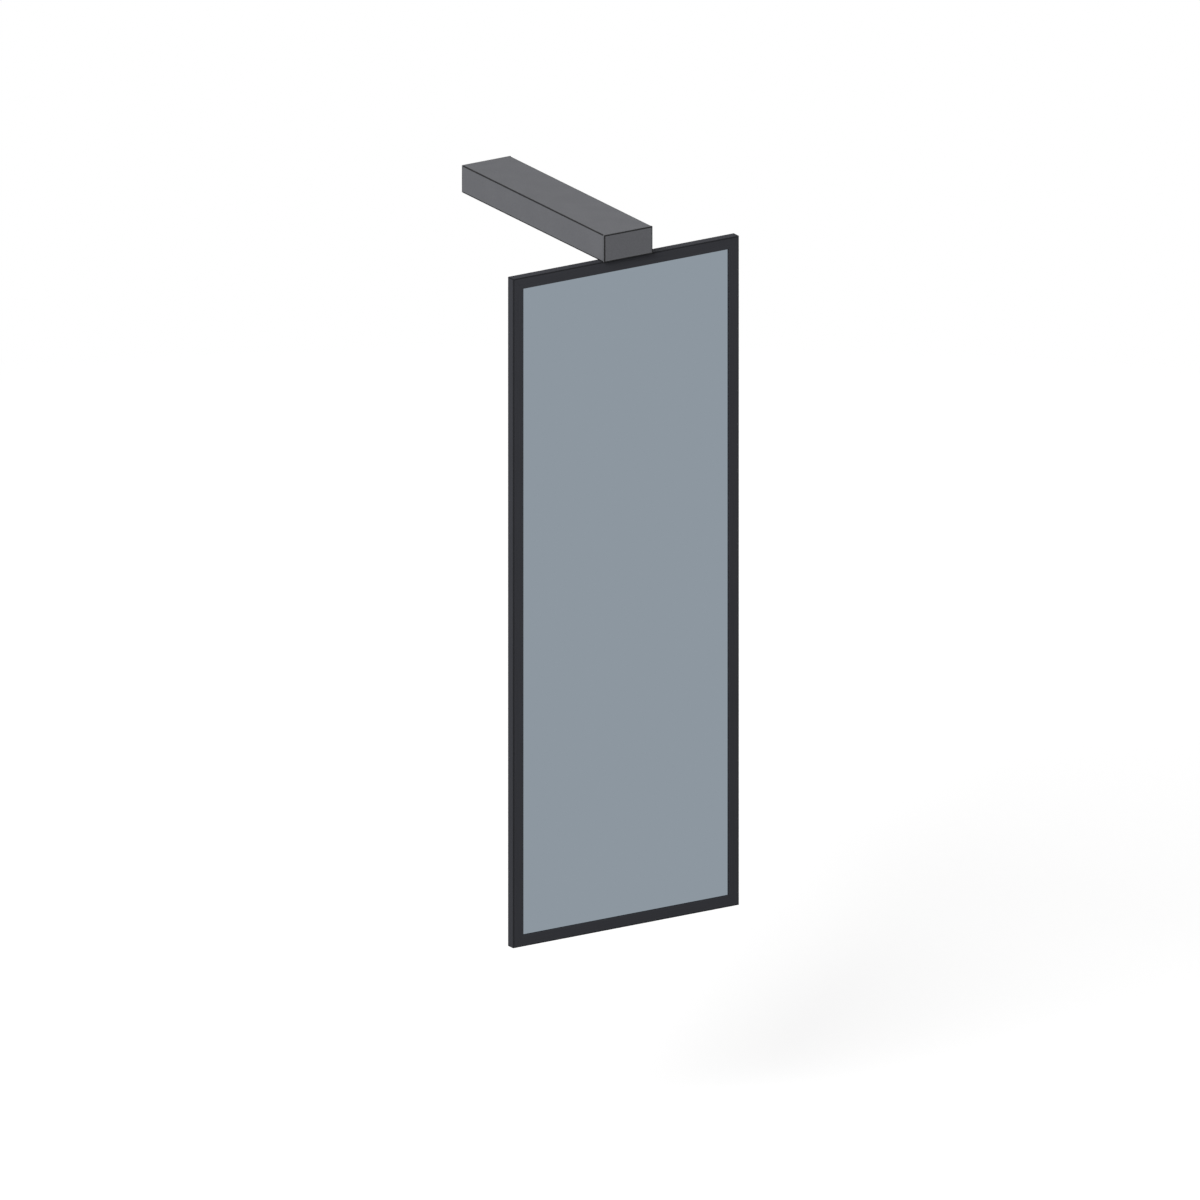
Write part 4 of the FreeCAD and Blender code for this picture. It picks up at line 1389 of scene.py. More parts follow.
    def roller_rows(self, name: str, body: Body, left: float, right: float, level: float) -> None:
        """Make the four cages of one row, and their rollers.

        Args:
            name: The row's name, outer or inner.
            body: The body that the cages ride on.
            left: The depth of the face on one side of the rollers.
            right: The depth of the face on the other side.
            level: The height of the rollers' axes above the slide's middle.
        """
        low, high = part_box(f"{name}_cage_left")
        start, end = low.y - self.front, high.y - self.front
        pitch = (end - start) / self.rollers_per_row
        middle, first = (left + right) / 2, start + pitch / 2
        step, lower = Vector((0, pitch, 0)), Vector((0, 0, -2 * level))
        thick, width = self.cage_thickness / 2, self.roller_length / 2 + self.pocket_play
        length = self.roller / 2 + self.pocket_play
        strip = Workpiece.block(f"{name}_roller_cage_left",
                                self.spot(left + self.guide_gap, level - thick, start),
                                self.spot(right - self.guide_gap, level + thick, end))
        pocket = Workpiece.block("pocket",
                                 self.spot(middle - width, level - self.roller, first - length),
                                 self.spot(middle + width, level + self.roller, first + length))
        strip.cut(pocket.row(self.rollers_per_row, step)).soften(self.cage_edge, 1).repeat(lower)
        self.pair(strip, body, self.finishes.cage, f"{name}_cage")

        foot = self.spot(middle - self.roller_length / 2, level, first)
        rollers = Workpiece.rod(f"{name}_roller_row_left", foot, Axis.X, self.roller / 2,
                                self.roller_length, sides=20)
        rollers.edges(rim_at(Axis.X, foot.x, foot.x + self.roller_length))
        rollers.bevel(self.roller_edge, 2)
        rollers.row(self.rollers_per_row, step).smooth().repeat(lower)
        self.pair(rollers, body, self.finishes.roller, f"{name}_rollers")


@dataclass
class Carriage(SubAssembly):
    """The channel between the slides, with the bearing block and the fascia at its front end.

    Sizes of three numbers are a width, a height and a depth.
    """

    wall: float = 1.5 * MM
    bend: float = 1.8 * MM
    sheet_edge: float = 0.08 * MM
    window: Pair = (41.0 * MM, 14.0 * MM)
    window_corner: float = 3.0 * MM
    window_y: float = 128.0 * MM
    nut_radius: float = 8.0 * MM
    nut_depth: float = 5.0 * MM
    pivot_setback: float = 9.5 * MM
    bore: float = 5.0 * MM
    screw_x: float = 16.0 * MM
    screw_radius: float = 2.0 * MM
    screw_play: float = 0.05 * MM
    screw_thread: float = 0.35 * MM
    screw_sink: float = 1.3 * MM
    screw_length: float = 12.0 * MM
    screw_pitch: float = 0.7 * MM
    screw_turns: int = 13
    screw_recess: Pair = (1.3 * MM, 1.1 * MM)
    pin_edge: float = 0.4 * MM
    block_corner: float = 1.5 * MM
    block_edge: float = 0.3 * MM
    tenon: Triple = (8.0 * MM, 12.0 * MM, 6.0 * MM)
    tenon_x: float = 16.0 * MM
    tenon_z: float = -23.5 * MM
    tenon_play: float = 0.05 * MM
    tenon_edge: float = 0.6 * MM
    socket_room: float = 0.5 * MM
    core: Triple = (10.0 * MM, 14.0 * MM, 6.0 * MM)
    core_corner: float = 1.0 * MM
    rim_wall: float = 1.5 * MM
    rim_play: float = 2.0 * MM
    rim_height: float = 30.0 * MM
    rim_depth: float = 1.4 * MM
    cap_thickness: float = 3.5 * MM
    cap_edge: float = 1.0 * MM
    cap_soft_edge: float = 0.15 * MM

    def __post_init__(self) -> None:
        """Find the swivel axis and the screws in the bearing block."""
        self.low, self.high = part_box("bearing_block")
        self.pivot = Vector((0, self.low.y + self.pivot_setback, self.high.z))
        self.screw_y = (self.low.y + self.high.y) / 2
        low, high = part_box("stop_pin")
        self.pin_foot = Vector(((low.x + high.x) / 2, (low.y + high.y) / 2, low.z))
        self.pin_radius, self.pin_length = (high.x - low.x) / 2, high.z - low.z

    def build(self) -> None:
        """Build the channel, the block with its screws and pin, and the fascia."""
        self.channel()
        self.block()
        self.screws()
        self.stop_pin()
        self.fascia()

    def channel(self) -> None:
        """Fold the channel, and cut its driver windows, nut hole and countersunk screw holes."""
        piece = self.folded("carriage_bridge", "carriage_channel", self.wall, self.bend)
        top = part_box("carriage_channel")[1].z
        shank, sink = self.screw_radius, self.screw_sink
        half = Vector((self.window[0] / 2, self.window[1] / 2, 3 * self.wall))
        for side in SIDES:
            middle = Vector((0, side * self.window_y, top))
            window = Workpiece.block("window", middle - half, middle + half)
            piece.cut(window.edges(runs_at(Axis.Z)).bevel(self.window_corner, 5))
            mouth = Vector((side * self.screw_x, self.screw_y, top))
            piece.cut(Workpiece.turned("countersink", mouth, [
                (0, -4 * MM), (shank, -4 * MM), (shank, -sink), (shank + sink, 0),
                (shank + sink, MM), (0, MM),
            ]))
        piece.drill(self.pivot - Vector((0, 0, MM)), Axis.Z, self.nut_radius, THROUGH, sides=64)
        piece.soften(self.sheet_edge, least_angle=CURVED)
        self.present(piece, Body.CARRIAGE, self.finishes.rail, "carriage_channel")

    def block(self) -> None:
        """Cast the block with rounded corners, cores, bores, tenon sockets and a pin hole."""
        low, high = self.low, self.high
        below = low.z - MM
        piece = Workpiece.block("bearing_casting", low, high)
        piece.edges(runs_at(Axis.Z, high, Vector((low.x, high.y, 0)))).bevel(self.block_corner, 5)
        width, height, depth = self.tenon
        for side in SIDES:
            core = self.pocket(side, high.y, self.core)
            piece.cut(core.edges(runs_at(Axis.Y)).bevel(self.core_corner, 4))
            piece.cut(self.pocket(side, low.y, (width, height, depth + self.socket_room)))
        piece.drill((0, self.pivot.y, below), Axis.Z, self.bore, THROUGH, sides=64)
        piece.drill(self.pivot - Vector((0, 0, self.nut_depth)), Axis.Z, self.nut_radius, THROUGH,
                    sides=64)
        for side in SIDES:
            foot = (side * self.screw_x, self.screw_y, high.z - self.screw_length + self.wall)
            piece.drill(foot, Axis.Z, self.screw_radius, THROUGH, sides=32)
        piece.drill((*self.pin_foot.xy, below), Axis.Z, self.pin_radius,
                    self.pin_foot.z + self.pin_length - below, sides=32)
        piece.soften(self.block_edge, 3, CURVED)
        self.present(piece, Body.CARRIAGE, self.finishes.block, "bearing_block")

    def pocket(self, side: int, face: float, size: Triple) -> Workpiece:
        """Return the cutter for a pocket in the block's front or rear face.

        Args:
            side: -1 for the left pocket and 1 for the right one.
            face: Y of the face that it opens in.
            size: Its width, height and depth.

        Returns:
            The cutter.
        """
        width, height, depth = size
        middle = Vector((side * self.tenon_x, face, self.tenon_z))
        half = Vector((width / 2, depth, height / 2))
        return Workpiece.block("pocket", middle - half, middle + half)

    def screws(self) -> None:
        """Turn one flat-head screw with a hexagon recess, and copy it to the other side."""
        head = Vector((-self.screw_x, self.screw_y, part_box("block_screws")[1].z))
        shank, length = self.screw_radius - self.screw_play, self.screw_length
        wide = self.screw_radius + self.screw_sink - 2 * self.screw_play
        form = ((shank - self.screw_thread, 0), (shank, 0.5))
        key, deep = self.screw_recess
        piece = Workpiece.turned("block_screw_left", head, [
            (0, -length), *threads(-length, self.screw_turns, self.screw_pitch, form),
            (shank, -self.screw_sink), (wide, 0), (0, 0),
        ], steps=32)
        piece.drill(head - Vector((0, 0, deep)), Axis.Z, key, THROUGH, sides=6).smooth()
        twin = piece.copy("block_screw_right", Matrix.Translation((2 * self.screw_x, 0, 0)))
        self.present(piece, Body.CARRIAGE, self.finishes.turned, "block_screws")
        self.present(twin, Body.CARRIAGE, self.finishes.turned)

    def stop_pin(self) -> None:
        """Grind the stop pin with rounded ends."""
        foot, length = self.pin_foot, self.pin_length
        piece = Workpiece.rod("swivel_stop_pin", foot, Axis.Z, self.pin_radius, length, sides=32)
        piece.edges(rim_at(Axis.Z, foot.z, foot.z + length)).bevel(self.pin_edge, 3).smooth()
        self.present(piece, Body.CARRIAGE, self.finishes.roller, "stop_pin")

    def fascia(self) -> None:
        """Mould the fascia, with its centring rim and the two tenons."""
        low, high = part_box("front_cap")
        back, top = low.y + self.cap_thickness, high.z - self.rim_play
        piece = Workpiece.block("front_fascia", low, (high.x, back, high.z))
        piece.edges(rim_at(Axis.Y, low.y)).bevel(self.cap_edge, 4)
        piece.fuse(self.arch(high.x - self.rim_play, top - self.rim_height, top,
                             (back - MM, back + self.rim_depth), self.rim_wall))
        width, height, length = self.tenon
        for side in SIDES:
            middle = Vector((side * self.tenon_x, back, self.tenon_z))
            half = Vector((width / 2 - self.tenon_play, 0, height / 2 - self.tenon_play))
            tenon = Workpiece.block("tenon", middle - half - Vector((0, MM, 0)),
                                    middle + half + Vector((0, length, 0)))
            piece.fuse(tenon.edges(rim_at(Axis.Y, back + length)).bevel(self.tenon_edge, 2))
        piece.soften(self.cap_soft_edge)
        self.present(piece, Body.CARRIAGE, self.finishes.cap, "front_cap")


@dataclass
class Swivel(SubAssembly):
    """The spindle that carries the mirror, with its bushes, washers and lock nut."""

    shaft: float = 3.95 * MM
    stud: float = 4.0 * MM
    stud_neck: float = 0.4 * MM
    hub: float = 5.8 * MM
    hub_edge: float = 0.3 * MM
    hub_gap: float = 0.3 * MM
    lug_radius: float = 9.0 * MM
    pitch: float = 1.25 * MM
    thread_depth: float = 0.5 * MM
    thread_end: float = 0.8 * MM
    thread_lead: float = 0.1 * MM
    run_out: float = 1.0 * MM
    pin_radius: float = 7.5 * MM
    pin_half: float = 1.7 * MM
    bush_bore: float = 4.0 * MM
    bush_outside: float = 5.0 * MM
    bush_edge: float = 0.3 * MM
    flange_thickness: float = 1.0 * MM
    ring_bore: float = 4.15 * MM
    slip_edge: float = 0.1 * MM
    spring_edge: float = 0.08 * MM
    wave: float = 0.1 * MM
    waves: int = 3
    nut_collar: float = 1.2 * MM
    nut_collar_rim: tuple[Pair, ...] = ((0.9 * MM, 0.8 * MM), (1.1 * MM, 0.3 * MM), (1.5 * MM, 0.0))
    nut_overlap: float = 0.3 * MM
    nut_tilt: float = 0.6
    nut_play: float = 0.02 * MM
    insert_wall: float = 0.7 * MM
    insert_foot: float = 1.4 * MM
    insert_top: float = 0.3 * MM
    steps: int = 64

    def __post_init__(self) -> None:
        """Find the swivel axis."""
        low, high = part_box("upper_bush")
        self.axis = Vector(((low.x + high.x) / 2, (low.y + high.y) / 2, 0))

    def build(self) -> None:
        """Build the spindle and what is threaded on it."""
        self.spindle()
        self.upper_bush()
        self.lower_bush()
        self.washers()
        self.lock_nut()

    def at(self, z: float) -> Vector:
        """Return the point of the swivel axis at a height."""
        return self.axis + Vector((0, 0, z))

    def threads(self, low: float, high: float, radius: float) -> list[Pair]:
        """Return the profile of a thread of a radius between two heights."""
        form = ((radius, 0.15), (radius - self.thread_depth, 0.5), (radius, 0.85))
        return threads(low, int((high - low) / self.pitch), self.pitch, form)

    def spindle(self) -> None:
        """Turn the shaft with its threads, and fuse the lug that meets the stop pin to its hub."""
        foot, top = (corner.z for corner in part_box("spindle"))
        hub_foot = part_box("frame_top")[1].z
        hub_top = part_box("bearing_block")[0].z - self.hub_gap
        hub, collar, end = hub_foot - foot, hub_top - foot, self.thread_end
        plain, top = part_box("lock_nut")[0].z - foot - self.run_out, top - foot
        piece = Workpiece.turned("swivel_spindle", self.at(foot), [
            (0, 0), (self.stud - end, 0), *self.threads(end, hub - self.run_out, self.stud),
            (self.stud - self.stud_neck, hub), (self.hub, hub), (self.hub, collar - self.hub_edge),
            (self.hub - self.hub_edge, collar), (self.shaft, collar), (self.shaft, plain),
            *self.threads(plain + self.thread_lead, top - end, self.shaft),
            (self.shaft - end, top), (0, top),
        ], self.steps)
        piece.fuse(self.lug(hub_foot, hub_top)).smooth()
        self.present(piece, Body.MIRROR, self.finishes.turned, "spindle")

    def lug(self, low: float, high: float) -> Workpiece:
        """Return the part ring that turns between its two stops.

        Args:
            low: The height of its foot.
            high: The height of its top.

        Returns:
            The lug as a solid, centred on the front of the swivel axis.
        """
        arc = math.pi - 2 * math.asin(self.pin_half / self.pin_radius)
        start = Matrix.Rotation(arc / 2, 3, "Z")
        inside, outside = self.hub - 0.5 * MM, self.lug_radius
        corners = ((inside, low), (outside, low), (outside, high), (inside, high))
        piece = Workpiece.line("lug", [self.at(z) + start @ Vector((0, -radius, 0))
                                       for radius, z in corners])
        bpy.ops.mesh.edge_face_add()
        bpy.ops.mesh.spin(steps=32, angle=arc, center=self.axis, axis=(0, 0, 1))
        return piece.outward()

    def ring(self, name: str, foot: float, bore: float, edge: float,
             outline: Sequence[Pair]) -> Workpiece:
        """Turn a washer or sleeve with bevels at its bore.

        Args:
            name: The piece's name.
            foot: The height of its foot.
            bore: The radius of its hole.
            edge: The width of its bevels.
            outline: Radius and height of its outside's corners, from the foot up.

        Returns:
            The ring.
        """
        top = outline[-1][1]
        profile = [(bore, edge), (bore + edge, 0), *outline, (bore + edge, top),
                   (bore, top - edge), (bore, edge)]
        return Workpiece.turned(name, self.at(foot), profile, self.steps)

    def plain_ring(self, name: str, low: Vector, high: Vector, bore: float,
                   edge: float) -> Workpiece:
        """Turn a ring that fills a box.

        Args:
            name: The piece's name.
            low: The box's lowest corner.
            high: Its highest corner.
            bore: The radius of its hole.
            edge: The width of its bevels.

        Returns:
            The ring.
        """
        radius, top = (high.x - low.x) / 2, high.z - low.z
        outline = [(radius - edge, 0), (radius, edge), (radius, top - edge), (radius - edge, top)]
        return self.ring(name, low.z, bore, edge, outline)

    def upper_bush(self) -> None:
        """Turn the flanged bush, with a lead-in at its bore."""
        low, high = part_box("upper_bush")
        height, flange = high.z - low.z, (high.x - low.x) / 2
        shoulder, barrel, edge = height - self.flange_thickness, self.bush_outside, self.bush_edge
        piece = self.ring("flanged_bush", low.z, self.bush_bore, edge, [
            (barrel - edge, 0), (barrel, edge), (barrel, shoulder), (flange - edge / 2, shoulder),
            (flange, shoulder + edge / 2), (flange, height - edge / 2), (flange - edge / 2, height),
        ])
        self.present(piece.smooth(), Body.CARRIAGE, self.finishes.bush, "upper_bush")

    def lower_bush(self) -> None:
        """Turn the plain bush."""
        piece = self.plain_ring("plain_bush", *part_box("lower_bush"), self.bush_bore, self.bush_edge)
        self.present(piece.smooth(), Body.CARRIAGE, self.finishes.bush, "lower_bush")

    def washers(self) -> None:
        """Turn the thrust washer, and press the waves into the spring washer."""
        piece = self.plain_ring("slip_washer", *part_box("thrust_washer"), self.ring_bore,
                                self.slip_edge)
        self.present(piece.smooth(), Body.MIRROR, self.finishes.nylon, "thrust_washer")
        low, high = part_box("wave_washer")
        rise = Vector((0, 0, self.wave))
        piece = self.plain_ring("spring_washer", low + rise, high - rise, self.ring_bore,
                                self.spring_edge)
        for step in range(self.steps):
            angle = math.tau * step / self.steps
            piece.points(lambda point: self.near_angle(point, angle))
            bpy.ops.transform.translate(value=rise * math.sin(self.waves * angle))
        self.present(piece.smooth(), Body.MIRROR, self.finishes.turned, "wave_washer")

    def near_angle(self, point: Vector, angle: float) -> bool:
        """Tell whether a point is within half a step of an angle about the swivel axis."""
        here = math.atan2(point.y - self.axis.y, point.x - self.axis.x)
        return abs(math.remainder(here - angle, math.tau)) < math.pi / self.steps

    def lock_nut(self) -> None:
        """Turn a hexagon nut with a chamfered crown, and fit a nylon ring in its top."""
        low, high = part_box("lock_nut")
        corner, flat = (high.x - low.x) / 2, (high.y - low.y) / 2
        collar, crown = self.nut_collar, high.z - low.z - self.nut_collar
        foot, insert_foot = self.at(low.z), self.at(high.z - self.insert_foot)
        bore, insert = self.shaft + self.nut_play, self.shaft + self.insert_wall
        piece = Workpiece.rod("lock_nut_steel", foot, Axis.Z, corner, crown, sides=6)
        bpy.ops.transform.rotate(value=math.pi / 6, orient_axis="Z", center_override=foot)
        bpy.ops.object.transform_apply(location=True, rotation=True, scale=True)
        within, beyond = flat - MM / self.nut_tilt, corner + MM
        rise = self.nut_tilt * (beyond - flat)
        piece.combine(Workpiece.turned("chamfers", foot, [
            (0, -MM), (within, -MM), (beyond, rise), (beyond, crown - rise), (within, crown + MM),
            (0, crown + MM),
        ], steps=72), Join.COMMON)
        rim = [(flat - inward, collar - down) for inward, down in self.nut_collar_rim]
        piece.fuse(Workpiece.turned("collar", self.at(low.z + crown), [
            (0, -self.nut_overlap), (rim[0][0], -self.nut_overlap), *rim, (0, collar),
        ], steps=72))
        piece.drill(self.at(low.z - MM), Axis.Z, bore, THROUGH, sides=64)
        piece.drill(insert_foot, Axis.Z, insert, THROUGH, sides=64)
        self.present(piece.smooth(), Body.MIRROR, self.finishes.turned, "lock_nut")
        reach = Vector((insert, 0, 0))
        piece = self.plain_ring("nut_insert", insert_foot - reach,
                                self.at(high.z - self.insert_top) + reach, bore, self.slip_edge)
        self.present(piece.smooth(), Body.MIRROR, self.finishes.nylon)


@dataclass
class FrameSide:
    """One side of the mirror's frame, for the profile that is extruded along it.

    Attributes:
        name: The side's name.
        corner: The outer front corner from which the profile runs.
        inward: The direction from the outer edge towards the glass.
        along: The direction of the extrusion.
        length: The length of the extrusion on its outer edge.
    """

    name: str
    corner: Vector
    inward: Vector
    along: Vector
    length: float

    def point(self, depth: float, inset: float, travel: float = 0.0) -> Vector:
        """Return the point at a depth from the front, an inset from the outer edge and a travel."""
        return self.corner + Axis.Y.value * depth + self.inward * inset + self.along * travel


@dataclass
class FramedMirror(SubAssembly):
    """The mirror: mitred extrusions round silvered glass, with a board behind it."""

    face: float = 16.0 * MM
    back: float = 10.0 * MM
    wall: float = 1.5 * MM
    lip: float = 1.2 * MM
    panel_groove: Pair = (8.0 * MM, 11.1 * MM)
    outer_edge: float = 0.6 * MM
    soft_edge: float = 0.12 * MM
    stud_hole: float = 4.25 * MM
    glass_seam: float = 0.8 * MM
    board_edge: float = 0.3 * MM
    screw_head: float = 2.4 * MM
    screw_height: float = 1.3 * MM
    screw_edge: float = 0.7 * MM
    screw_cross: Pair = (1.3 * MM, 0.35 * MM)
    screw_inset: float = 5.0 * MM
    screw_offsets: Pair = (16.0 * MM, 32.0 * MM)
    hanger_screws: Pair = (34.0 * MM, 68.0 * MM)

    def __post_init__(self) -> None:
        """Find the frame's outer corners."""
        self.low, self.high = around("frame_top", "frame_right", "frame_bottom", "frame_left")
        self.depth = self.high.y - self.low.y
        self.middle = (self.low + self.high) / 2

    def build(self) -> None:
        """Build the frame, the glass and the board, and dress what is hidden inside."""
        self.extrusions()
        self.sheet("mirror_pane", "mirror_glass", self.glass_seam, self.finishes.glass)
        self.sheet("back_board", "back_panel", self.board_edge, self.finishes.panel)
        self.key_screws()
        for side in ("top", "right", "bottom", "left"):
            self.dress(f"gasket_{side}", self.finishes.gasket)
        self.dress("safety_film", self.finishes.film)
        self.dress("hanger_bar", self.finishes.key)
        self.dress("corner_keys", self.finishes.key)

    def extrusions(self) -> None:
        """Extrude and mitre a left and a top side, and turn them round for the other two."""
        low, high, middle = self.low, self.high, Vector((self.middle.x, 0, self.middle.z))
        left = FrameSide("left", low, Axis.X.value, Axis.Z.value, high.z - low.z)
        top = FrameSide("top", Vector((low.x, low.y, high.z)), -Axis.Z.value, Axis.X.value,
                        high.x - low.x)
        for side, opposite, finish in ((left, "right", self.finishes.frame_upright),
                                       (top, "bottom", self.finishes.frame_across)):
            piece = self.extrusion(side)
            twin = piece.copy(f"{opposite}_extrusion", half_turn(middle))
            if side is top:
                foot = (self.middle.x, self.middle.y, high.z - 2 * self.wall)
                piece.drill(foot, Axis.Z, self.stud_hole, 4 * self.wall)
            for part, name in ((piece, side.name), (twin, opposite)):
                part.soften(self.soft_edge, least_angle=CURVED)
                self.present(part, Body.MIRROR, finish, f"frame_{name}")

    def extrusion(self, side: FrameSide) -> Workpiece:
        """Extrude one side with its chamber and its two grooves, and mitre its ends.

        Args:
            side: Where the side lies and how it runs.

        Returns:
            The side, before its edges are softened.
        """
        start, end = self.panel_groove
        edge, lip, back, face, wall = self.outer_edge, self.lip, self.back, self.face, self.wall
        depth = self.depth
        profile = [
            (0, edge), (0, face), (lip, face), (lip, back), (start - lip, back),
            (start - lip, face), (start, face), (start, back), (end, back), (end, face),
            (end + lip, face), (end + lip, back), (depth, back), (depth, edge), (depth - edge, 0),
            (edge, 0),
        ]
        piece = Workpiece.section(f"{side.name}_extrusion", [side.point(*spot) for spot in profile],
                                  side.along * side.length)
        piece.cut(Workpiece.block("chamber", side.point(wall, wall, -MM),
                                  side.point(depth - wall, back - wall, side.length + MM)))
        piece.slice(side.point(0, 0), side.inward - side.along)
        piece.slice(side.point(0, 0, side.length), side.inward + side.along)
        return piece.outward()

    def sheet(self, name: str, node: str, edge: float, finish: Finish) -> None:
        """Cut the pane or the board to size and break its edges.

        Args:
            name: The piece's name.
            node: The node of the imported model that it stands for.
            edge: The width of its seamed edges.
            finish: Its finish.
        """
        piece = Workpiece.block(name, *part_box(node)).whole()
        piece.bevel(edge, 2).smooth(degrees=20)
        self.present(piece, Body.MIRROR, finish, node)

    def key_screws(self) -> None:
        """Set copies of one screw in the back, over the corner keys and the hanger bar."""
        low, high, inset = self.low, self.high, self.screw_inset
        places = [(self.middle.x + side * x, high.z - inset)
                  for x in self.hanger_screws for side in SIDES]
        corners = product(((low.x, 1), (high.x, -1)), ((low.z, 1), (high.z, -1)))
        for ((x, across), (z, up)), offset in product(corners, self.screw_offsets):
            places += [(x + across * inset, z + up * offset), (x + across * offset, z + up * inset)]
        (x, z), *others = places
        piece = self.screw_at(x, z).repeat(*(Vector((there - x, 0, up - z))
                                             for there, up in others))
        self.present(piece, Body.MIRROR, self.finishes.turned)

    def screw_at(self, x: float, z: float) -> Workpiece:
        """Turn a pan head with a cross recess, seated on the frame's back.

        Args:
            x: X of its axis.
            z: Z of its axis.

        Returns:
            The screw head.
        """
        back, height, edge = self.high.y, self.screw_height, self.screw_edge
        piece = Workpiece.rod("frame_screws", (x, back, z), Axis.Y, self.screw_head, height,
                              sides=24)
        piece.edges(rim_at(Axis.Y, back + height)).bevel(edge, 3)
        for across, up in (self.screw_cross[::-1], self.screw_cross):
            piece.cut(Workpiece.block("slot", (x - across, back + height - edge, z - up),
                                      (x + across, back + height + MM, z + up)))
        return piece.smooth()


# ---- Studio ----
@dataclass
class Softbox:
    """A large soft lamp.

    Attributes:
        name: The lamp's name.
        towards: The direction from the object to the lamp.
        level: The light that it gives a white card that faces it, where 1 is plain white.
        mirrored: Whether metal and glass show it.
        size: The width of its square face.
    """

    name: str
    towards: Vector
    level: float
    mirrored: bool = False
    size: float = 3.5


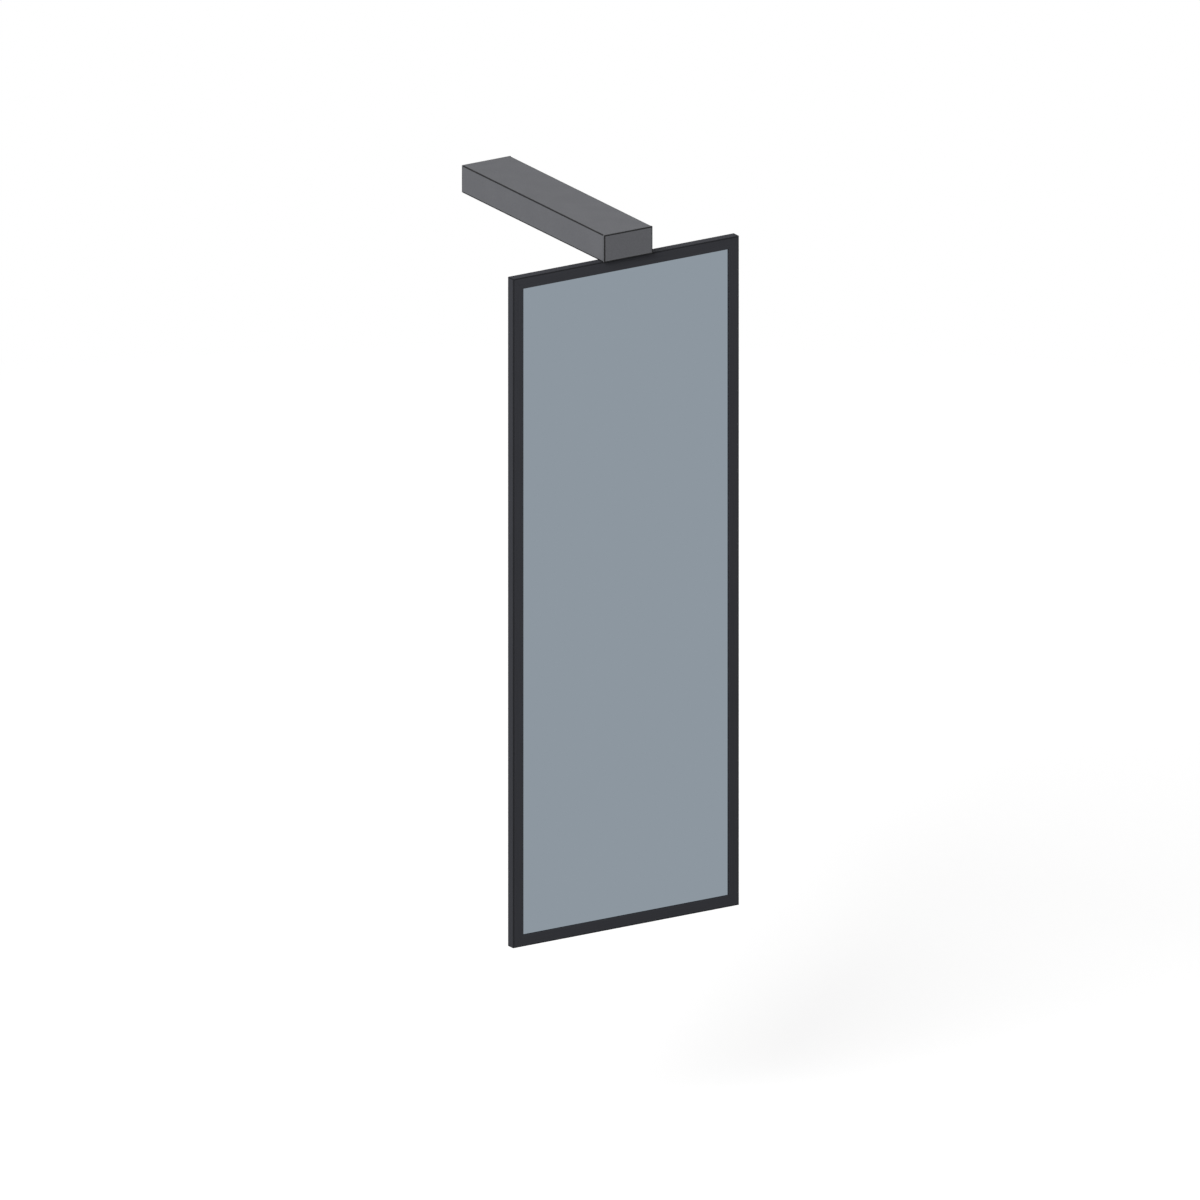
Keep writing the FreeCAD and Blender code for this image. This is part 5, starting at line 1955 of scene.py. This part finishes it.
@dataclass
class Studio:
    """The camera, the lamps, the floor and the surroundings.

    Attributes:
        azimuth: How far the camera stands round the object, in degrees; 0 looks along +Y.
        elevation: How far it looks down, in degrees.
        image_side: The side of the square image, in pixels.
        pixels_per_metre: The scale of the parallel view.
        corner_pixel: Where the top left corner of the mirror's front lies in the image.
        distance: How far the camera and the lamps stand from the object.
        drop: How far the floor lies below the mirror.
        floor_size: The side of the square floor.
        floor_tone: How bright the floor is, where 1 is white.
        floor_glow: The light that brings the floor up to white where nothing shades it.
        floor_bounce: The light that the floor throws back up.
        fade: How far out the floor starts to lose its shadows, and where it is plain white.
        ambient: The light of the surroundings, where 1 is plain white.
    """

    azimuth: float = -32.0
    elevation: float = 18.0
    image_side: int = 1200
    pixels_per_metre: float = 748.6
    corner_pixel: Pair = (513.34, 279.4)
    distance: float = 6.0
    drop: float = 0.32
    floor_size: float = 60.0
    floor_tone: float = 0.8
    floor_glow: float = 0.45
    floor_bounce: float = 0.25
    fade: Pair = (2.2, 3.6)
    ambient: float = 0.35

    def build(self) -> None:
        """Set up the studio round the object."""
        self.camera()
        self.floor()
        self.surroundings()
        self.lamp(Softbox("key_lamp", Vector((-0.72, -0.39, 0.59)), 0.79, mirrored=True))
        self.lamp(Softbox("back_lamp", Vector((0.6, 0.75, 0.1)), 0.35))
        bpy.context.scene.view_settings.view_transform = "Standard"

    def camera(self) -> None:
        """Aim a parallel camera so that the mirror's corner falls on its pixel."""
        data = bpy.data.cameras.new("view")
        data.type = "ORTHO"
        data.ortho_scale = self.image_side / self.pixels_per_metre
        data.clip_end = self.floor_size
        camera = bpy.data.objects.new("view", data)
        camera.rotation_euler = (math.radians(90 - self.elevation), 0, math.radians(self.azimuth))
        right, up, back = camera.rotation_euler.to_matrix().col
        low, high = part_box("frame_left")[0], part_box("frame_top")[1]
        across, below = ((pixel - self.image_side / 2) / self.pixels_per_metre
                         for pixel in self.corner_pixel)
        camera.location = (Vector((low.x, low.y, high.z)) - right * across + up * below
                           + back * self.distance)
        bpy.context.scene.collection.objects.link(camera)
        bpy.context.scene.camera = camera

    def floor(self) -> None:
        """Lay a pale floor that keeps the shadow, fades to white and is clear from below."""
        clear_selection()
        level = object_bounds()[0][2] - self.drop
        bpy.ops.mesh.primitive_plane_add(size=self.floor_size, location=(0, 0, level))
        floor = bpy.context.view_layer.objects.active
        floor.name = "floor"
        material = bpy.data.materials.new("pale_floor")
        material.use_nodes = True
        bench = Bench(material.node_tree)
        bench.tree.nodes.remove(bench.tree.nodes["Principled BSDF"])
        path, geometry = bench.node("LightPath").outputs, bench.node("NewGeometry").outputs
        card = bench.node("BsdfDiffuse", {"Color": (*[self.floor_tone] * 3, 1.0)}).outputs[0]
        shadowed = bench.node("AddShader", {0: card, 1: bench.glow(self.floor_glow)}).outputs[0]
        white = bench.glow(1.0)
        mirrored = bench.math("MAXIMUM", path["Is Glossy Ray"], path["Is Transmission Ray"])
        reach = bench.vector("LENGTH", geometry["Position"], result="Value")
        faded = bench.mix(bench.spread(reach, *self.fade), shadowed, white)
        seen = bench.mix(path["Is Camera Ray"], bench.glow(self.floor_bounce), faded)
        above = bench.mix(mirrored, seen, white)
        below = bench.math("MULTIPLY", geometry["Backfacing"], path["Is Camera Ray"])
        surface = bench.mix(below, above, bench.node("BsdfTransparent").outputs[0])
        bench.feed(bench.tree.nodes["Material Output"], {"Surface": surface})
        floor.data.materials.append(material)
        floor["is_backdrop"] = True

    def surroundings(self) -> None:
        """Surround the object with a soft light that the camera, gloss and glass see as white."""
        world = bpy.data.worlds.new("white_room")
        world.use_nodes = True
        bench = Bench(world.node_tree)
        bench.tree.nodes.remove(bench.tree.nodes["Background"])
        path = bench.node("LightPath").outputs
        seen = bench.math("MAXIMUM", path["Is Camera Ray"], path["Is Glossy Ray"])
        seen = bench.math("MAXIMUM", seen, path["Is Transmission Ray"])
        light, white = (bench.glow(level, "Background") for level in (self.ambient, 1.0))
        bench.feed(bench.tree.nodes["World Output"], {"Surface": bench.mix(seen, light, white)})
        bpy.context.scene.world = world

    def lamp(self, lamp: Softbox) -> None:
        """Hang one lamp, aimed at the middle of the object.

        Args:
            lamp: The lamp.
        """
        low, high = map(Vector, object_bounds())
        direction = lamp.towards.normalized()
        data = bpy.data.lights.new(lamp.name, "AREA")
        data.shape = "SQUARE"
        data.size = lamp.size
        data.energy = lamp.level * (math.pi * self.distance) ** 2
        obj = bpy.data.objects.new(lamp.name, data)
        obj.location = (low + high) / 2 + direction * self.distance
        obj.rotation_euler = direction.to_track_quat("Z", "Y").to_euler()
        obj.visible_glossy = lamp.mirrored
        bpy.context.scene.collection.objects.link(obj)


def write_sizes(shown: Sequence) -> None:
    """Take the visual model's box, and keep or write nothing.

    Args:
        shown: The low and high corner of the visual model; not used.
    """

    def plain(box: Sequence) -> list[list[float]]:
        """Take a box and return nothing."""
        return [[float(value) for value in corner] for corner in box]


def main() -> None:
    """Build every sub-assembly, from the shelf down to the mirror, and then the studio."""
    logging.basicConfig(level=logging.INFO, format="%(message)s", stream=sys.stdout)
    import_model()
    finishes = Finishes()
    for kind in (Housing, Slides, Carriage, Swivel, FramedMirror):
        LOG.info("%s", kind.__name__)
        kind(finishes).build()
    Studio().build()
    write_sizes(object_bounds())


if __name__ == "__main__":
    main()
